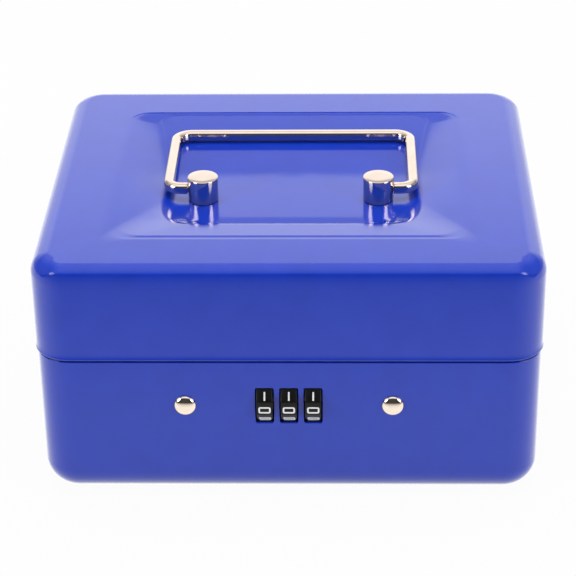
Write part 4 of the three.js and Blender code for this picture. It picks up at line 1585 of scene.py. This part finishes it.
    def figures(self, number: int) -> Piece:
        """Models the ten figures of one dial.

        Args:
            number: 1 for the left dial.

        Returns:
            One piece that holds them all.
        """
        low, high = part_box("dial_%d" % number)
        middle = (low + high) / 2
        apothem = (high.y - low.y) / 2
        wide, tall = (size - self.stroke for size in self.figure)
        marks = []
        for figure, strokes in self.FIGURES.items():
            angle = figure * 2 * math.pi / self.facets
            for stroke in strokes:
                points = [
                    Vector(((x / self.GRID - 0.5) * wide + self.aside, (y / self.GRID - 0.5) * tall - self.settle))
                    for x, y in stroke
                ]
                marks.append(self.ribbon(points, angle, apothem, middle))
        return Bench.join("dial_figures_%d" % number, marks)

    def ribbon(self, points: list[Vector], angle: float, apothem: float, middle: Vector) -> Piece:
        """Lays one stroke of a figure on its facet.

        Args:
            points: the stroke's course on the facet.
            angle: how far up the dial the facet is.
            apothem: the facets' distance from the dial's axis.
            middle: the dial's middle.

        Returns:
            The stroke.
        """
        course, closed = self.rounded(points), self.closed(points)
        last = len(course) - 1
        out = Vector((0.0, -math.cos(angle), math.sin(angle)))
        up = Vector((0.0, math.sin(angle), math.cos(angle)))
        loops = []
        for step, point in enumerate(course):
            if closed and step in (0, last):
                run = (course[1] - course[-2]).normalized()
            else:
                run = (course[min(step + 1, last)] - course[max(step - 1, 0)]).normalized()
            across = Vector((-run.y, run.x)) * (self.stroke / 2)
            loop = []
            for side, lift in ((1, 0.0), (1, self.ink), (-1, self.ink), (-1, 0.0)):
                flat = point + across * side
                rise = out * (apothem - self.sunk + lift)
                loop.append(middle + Vector((flat.x, 0.0, 0.0)) + up * flat.y + rise)
            loops.append(loop)
        return Bench.loft("stroke", loops, not closed, not closed)

    def closed(self, points: list[Vector]) -> bool:
        """Tells whether a stroke ends where it starts."""
        return (points[0] - points[-1]).length < self.TOUCH

    def rounded(self, points: list[Vector]) -> list[Vector]:
        """Rounds a stroke's corners.

        Args:
            points: the stroke's course.

        Returns:
            The rounded course, with its free ends where they were.
        """
        radius = self.stroke * self.bend
        closed = self.closed(points)
        corners = points[:-1] if closed else points
        course = []
        for step, point in enumerate(corners):
            if not closed and step in (0, len(corners) - 1):
                course.append(point.copy())
                continue
            before = (corners[step - 1] - point).normalized()
            after = (corners[(step + 1) % len(corners)] - point).normalized()
            start, end = point + before * radius, point + after * radius
            for share in self.bend_shares:
                course.append(start.lerp(point, share).lerp(point.lerp(end, share), share))
        if closed:
            course.append(course[0].copy())
        return course

    def build(self) -> list[Piece]:
        """Models the dials with their figures and sleeves.

        Returns:
            The finished pieces.
        """
        pieces = []
        for number, body in zip(self.NUMBERS, self.BODIES):
            wheel = self.wheel(number)
            BLACK_PLASTIC.apply(wheel, "black_plastic")
            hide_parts("dial_%d" % number)
            figures = self.figures(number)
            WHITE_INK.apply(figures, "black_plastic")
            node = "dial_sleeve_%d" % number
            sleeve = Bench.copy_node(node, "sleeve_%d" % number, self.sleeve_edge, self.sleeve_angle)
            BRASS.apply(sleeve, "brass")
            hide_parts(node)
            for piece in (wheel, figures, sleeve):
                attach(piece, body)
                pieces.append(piece)
        return pieces


@dataclass
class Hardware:
    """Hinges and the works of the lock: the CAD solids with their edges rounded.

    Attributes:
        PARTS: node, new name, finish, material slot, body and width of the rounding of each part.
    """

    PARTS = (
        ("hinge_body_leaf_left", "leaf_body_left", BLUE_PAINT, "blue_paint", "case", 0.0002),
        ("hinge_body_leaf_right", "leaf_body_right", BLUE_PAINT, "blue_paint", "case", 0.0002),
        ("hinge_lid_leaf_left", "leaf_lid_left", BLUE_PAINT, "blue_paint", "lid", 0.0002),
        ("hinge_lid_leaf_right", "leaf_lid_right", BLUE_PAINT, "blue_paint", "lid", 0.0002),
        ("hinge_pin_left", "pin_left", ZINC, "zinc_steel", "case", 0.0001),
        ("hinge_pin_right", "pin_right", ZINC, "zinc_steel", "case", 0.0001),
        ("lid_strike", "strike", ZINC, "zinc_steel", "lid", 0.0002),
        ("lock_case", "case_pressing", ZINC, "zinc_steel", "case", 0.00018),
        ("lock_cover", "cover_plate", ZINC, "zinc_steel", "case", 0.00018),
        ("cover_screw_1", "screw_1", ZINC, "zinc_steel", "case", 0.0001),
        ("cover_screw_2", "screw_2", ZINC, "zinc_steel", "case", 0.0001),
        ("cover_screw_3", "screw_3", ZINC, "zinc_steel", "case", 0.0001),
        ("cover_screw_4", "screw_4", ZINC, "zinc_steel", "case", 0.0001),
        ("bolt_rod", "rod", ZINC, "zinc_steel", "bolt", 0.0001),
        ("bolt_plate", "plate", ZINC, "zinc_steel", "bolt", 0.0001),
        ("detent_spring", "click_spring", SPRING_STEEL, "spring_steel", "case", 0.00005),
        ("reset_lever", "lever_red", RED_PLASTIC, "red_plastic", "lever", 0.0002),
    )

    def build(self) -> list[Piece]:
        """Copies, rounds and dresses each part, and paints the bolt spring where it is.

        Returns:
            The finished pieces.
        """
        pieces = []
        for node, name, finish, slot, body, edge in self.PARTS:
            piece = Bench.copy_node(node, name, edge)
            finish.apply(piece, slot)
            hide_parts(node)
            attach(piece, body)
            pieces.append(piece)
        SPRING_STEEL.paint_node("bolt_spring")
        return pieces


# Studio


def grey(level: float) -> tuple[float, float, float, float]:
    """An opaque grey, in linear RGB."""
    return (level, level, level, 1.0)


@dataclass(frozen=True)
class Lamp:
    """A soft lamp that either lights the piece or is only mirrored by it.

    Attributes:
        name: its name.
        place: where it stands.
        aim: the point that it faces.
        size: its width and height.
        power: its power in watts.
        mirrored: whether glossy surfaces show it, in place of being lit by it.
    """

    name: str
    place: Place
    aim: Place
    size: Pair
    power: float
    mirrored: bool = False

    def beside(self, side: Side) -> "Lamp":
        """The same lamp on one side of the piece.

        Args:
            side: which side.

        Returns:
            The lamp, where this one is on the right.
        """
        x, y, z = self.place
        return replace(self, name="%s_%s" % (self.name, side.word), place=(side.value * x, y, z))

    def hang(self) -> None:
        """Adds the lamp to the scene."""
        data = bpy.data.lights.new(self.name, "AREA")
        data.shape = "ELLIPSE"
        data.size, data.size_y = self.size
        data.energy = self.power
        lamp = bpy.data.objects.new(self.name, data)
        bpy.context.scene.collection.objects.link(lamp)
        lamp.visible_glossy = self.mirrored
        lamp.visible_diffuse = not self.mirrored
        turn = (Vector(self.aim) - Vector(self.place)).to_track_quat("-Z", "Y").to_matrix().to_4x4()
        lamp.matrix_world = Matrix.Translation(Vector(self.place)) @ turn


@dataclass
class Studio:
    """Floor, light and camera.

    Attributes:
        focal_px: the photograph's focal length, in its pixels.
        frame_px: the photograph's width.
        sensor_mm: the camera's sensor width.
        pitch: how far down the camera looks, in degrees.
        yaw: how far it looks to the right.
        roll: how far it leans.
        eye: where it stands.
        clip_start: the nearest that it sees.
        room_level: grey level of the light from all round.
        floor_size: the floor's width and depth.
        floor_squares: how many squares it is divided in each way.
        floor_drop: how far below the piece it lies.
        floor_roughness: its roughness.
        floor_specular: strength of its plain reflection.
        floor_colour: its grey level.
        floor_share: how much of its look is even light, to the camera and in reflections.
        floor_reach: how far forward its reflection fades.
        floor_mirrored: pairs of a place forward and the grey level that gloss mirrors there.
        floor_gain: brightness of that reflection.
        wall_gain: brightness of the mirrored room.
        side_fall: where it starts to fade to the sides, where it ends to, and what is left there.
        wall_levels: pairs of an angle in degrees, from behind over the top to the front, and its grey level.
        top: the lamp above.
        pair: the lamps that stand on both sides.
    """

    focal_px: float = 2078.99
    frame_px: float = 576.0
    sensor_mm: float = 36.0
    pitch: float = 29.0
    yaw: float = -1.81
    roll: float = -0.89
    eye: Place = (0.01695, -0.5917, 0.3652)
    clip_start: float = 0.01
    room_level: float = 0.46
    floor_size: float = 6.0
    floor_squares: int = 8
    floor_drop: float = 0.00002
    floor_roughness: float = 0.6
    floor_specular: float = 0.1
    floor_colour: float = 0.72
    floor_share: float = 0.96
    floor_reach: float = 0.8
    floor_mirrored: tuple[Pair, ...] = (
        (0.0, 1.0), (0.112, 1.0), (0.18, 0.68), (0.215, 0.5), (0.3, 0.27), (0.45, 0.1), (0.8, 0.05),
    )
    floor_gain: float = 1.24
    wall_gain: float = 1.4
    side_fall: tuple[float, float, float] = (0.3, 0.75, 0.3)
    wall_levels: tuple[Pair, ...] = (
        (0.0, 1.0), (23.0, 1.0), (28.5, 0.88), (30.5, 0.46), (36.0, 0.52), (60.0, 0.95), (116.0, 0.98), (136.0, 0.05),
        (180.0, 0.045),
    )
    top: Lamp = Lamp("softbox_top", (0.0, 0.15, 1.1), (0.0, 0.0, 0.0), (1.0, 0.8), 7.6)
    pair: tuple[Lamp, ...] = (
        Lamp("card", (0.77, -0.48, 0.4), (0.0, 0.0, 0.06), (0.5, 0.6), 4.0, True),
        Lamp("softbox", (0.84, -0.52, 0.43), (0.0, 0.0, 0.06), (0.45, 0.6), 2.4),
    )

    def camera(self) -> None:
        """Sets the camera to the photograph's angle and focal length."""
        data = bpy.data.cameras.new("camera")
        data.sensor_width = self.sensor_mm
        data.lens = self.focal_px * self.sensor_mm / self.frame_px
        data.clip_start = self.clip_start
        camera = bpy.data.objects.new("camera", data)
        bpy.context.scene.collection.objects.link(camera)
        pitch, yaw, roll = (math.radians(angle) for angle in (self.pitch, self.yaw, self.roll))
        forward = Vector((math.sin(yaw) * math.cos(pitch), math.cos(yaw) * math.cos(pitch), -math.sin(pitch)))
        right = forward.cross(Vector((0.0, 0.0, 1.0))).normalized()
        up = right.cross(forward)
        level_right = right * math.cos(roll) + up * math.sin(roll)
        level_up = up * math.cos(roll) - right * math.sin(roll)
        turn = Matrix((level_right, level_up, -forward)).transposed().to_4x4()
        camera.matrix_world = Matrix.Translation(Vector(self.eye)) @ turn
        bpy.context.scene.camera = camera

    @staticmethod
    def ramp(tree: Tree, place: Socket, levels: Sequence[Pair], whole: float) -> Socket:
        """Adds a ramp of greys.

        Args:
            tree: where to add it.
            place: the place on it, from 0 to 1.
            levels: pairs of place and grey level, in order.
            whole: the place at the ramp's far end.

        Returns:
            The grey's output.
        """
        node = tree.nodes.new("ShaderNodeValToRGB")
        tree.links.new(place, node.inputs["Fac"])
        stops = node.color_ramp.elements
        while len(stops) < len(levels):
            stops.new(0.5)
        for stop, (where, level) in zip(stops, levels):
            stop.position = where / whole
            stop.color = grey(level)
        return node.outputs["Color"]

    def floor_glow(self, tree: Tree, path: Node) -> Socket:
        """Adds what the camera and gloss see of the floor: white, and a fading reflection of it.

        Args:
            tree: the floor's nodes.
            path: its Light Path node.

        Returns:
            The output of an Emission node.
        """
        place = tree.nodes.new("ShaderNodeTexCoord")
        split = tree.nodes.new("ShaderNodeSeparateXYZ")
        tree.links.new(place.outputs["Object"], split.inputs["Vector"])
        forward = Groups.math(tree, "DIVIDE", split.outputs["Y"], -self.floor_reach)
        fade = self.ramp(tree, forward, self.floor_mirrored, self.floor_reach)
        gain = Groups.math(tree, "MULTIPLY", path.outputs["Is Glossy Ray"], self.floor_gain)
        mirrored = Groups.math(tree, "MULTIPLY", gain, fade)
        level = Groups.math(tree, "ADD", path.outputs["Is Camera Ray"], mirrored)
        glow = tree.nodes.new("ShaderNodeEmission")
        tree.links.new(level, glow.inputs["Strength"])
        return glow.outputs["Emission"]

    def floor(self) -> None:
        """Lays the pale floor, white where the camera sees it and pale where metal and gloss mirror it."""
        Bench.clear()
        squares = self.floor_squares
        bpy.ops.mesh.primitive_grid_add(
            x_subdivisions=squares, y_subdivisions=squares, size=self.floor_size, location=(0.0, 0.0, -self.floor_drop)
        )
        floor = bpy.context.object
        floor.name = "floor"
        material = bpy.data.materials.new("pale_floor")
        material.use_nodes = True
        tree = material.node_tree
        shader = tree.nodes["Principled BSDF"]
        shader.inputs["Base Color"].default_value = grey(self.floor_colour)
        shader.inputs["Roughness"].default_value = self.floor_roughness
        shader.inputs["Specular IOR Level"].default_value = self.floor_specular
        path = tree.nodes.new("ShaderNodeLightPath")
        seen = Groups.math(tree, "MAXIMUM", path.outputs["Is Camera Ray"], path.outputs["Is Glossy Ray"])
        mix = tree.nodes.new("ShaderNodeMixShader")
        tree.links.new(Groups.math(tree, "MULTIPLY", seen, self.floor_share), mix.inputs["Fac"])
        tree.links.new(shader.outputs["BSDF"], mix.inputs[1])
        tree.links.new(self.floor_glow(tree, path), mix.inputs[2])
        tree.links.new(mix.outputs["Shader"], tree.nodes["Material Output"].inputs["Surface"])
        floor.data.materials.append(material)

    @staticmethod
    def switch(tree: Tree, factor: Socket) -> Node:
        """Adds a node that passes from its input A to its input B.

        Args:
            tree: where to add it.
            factor: 0 for A and 1 for B.

        Returns:
            The Mix node.
        """
        node = tree.nodes.new("ShaderNodeMix")
        node.data_type = "RGBA"
        tree.links.new(factor, node.inputs["Factor"])
        return node

    def wall(self, tree: Tree) -> Socket:
        """Adds the room that gloss mirrors: bright behind and above, dark in front, and fading to the sides.

        Args:
            tree: the world's nodes.

        Returns:
            The output of its grey level.
        """
        coordinates = tree.nodes.new("ShaderNodeTexCoord")
        split = tree.nodes.new("ShaderNodeSeparateXYZ")
        tree.links.new(coordinates.outputs["Generated"], split.inputs["Vector"])
        turn = Groups.math(tree, "ARCTAN2", split.outputs["Z"], split.outputs["Y"])
        share = Groups.math(tree, "DIVIDE", Groups.math(tree, "ABSOLUTE", turn), math.pi)
        round_level = self.ramp(tree, share, self.wall_levels, HALF_TURN)
        start, end, left = self.side_fall
        aside = tree.nodes.new("ShaderNodeMapRange")
        aside.inputs["From Min"].default_value = start
        aside.inputs["From Max"].default_value = end
        aside.inputs["To Min"].default_value = self.wall_gain
        aside.inputs["To Max"].default_value = self.wall_gain * left
        tree.links.new(Groups.math(tree, "ABSOLUTE", split.outputs["X"]), aside.inputs["Value"])
        return Groups.math(tree, "MULTIPLY", round_level, aside.outputs["Result"])

    def world(self) -> None:
        """Lights the room evenly, white to the camera; gloss mirrors a bright wall behind and a dark one in front."""
        world = bpy.data.worlds.new("room")
        bpy.context.scene.world = world
        world.use_nodes = True
        tree = world.node_tree
        path = tree.nodes.new("ShaderNodeLightPath")
        mirror = self.switch(tree, path.outputs["Is Glossy Ray"])
        mirror.inputs["A"].default_value = grey(self.room_level)
        tree.links.new(self.wall(tree), mirror.inputs["B"])
        seen = self.switch(tree, path.outputs["Is Camera Ray"])
        seen.inputs["B"].default_value = grey(1.0)
        tree.links.new(mirror.outputs["Result"], seen.inputs["A"])
        tree.links.new(seen.outputs["Result"], tree.nodes["Background"].inputs["Color"])

    def build(self) -> None:
        """Sets up the whole studio."""
        self.camera()
        self.floor()
        self.world()
        self.top.hang()
        for side in Side:
            for lamp in self.pair:
                lamp.beside(side).hang()
        bpy.context.scene.view_settings.view_transform = "Standard"


def main() -> None:
    """Builds the studio and every piece in order."""
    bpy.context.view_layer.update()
    Studio().build()
    for maker in (Lid(), Body(), Handle(), Rivets(), Dials(), Hardware()):
        pieces = maker.build()
        LOG.info("%s: %s", type(maker).__name__.lower(), ", ".join(piece.name for piece in pieces))


if __name__ == "__main__":
    main()
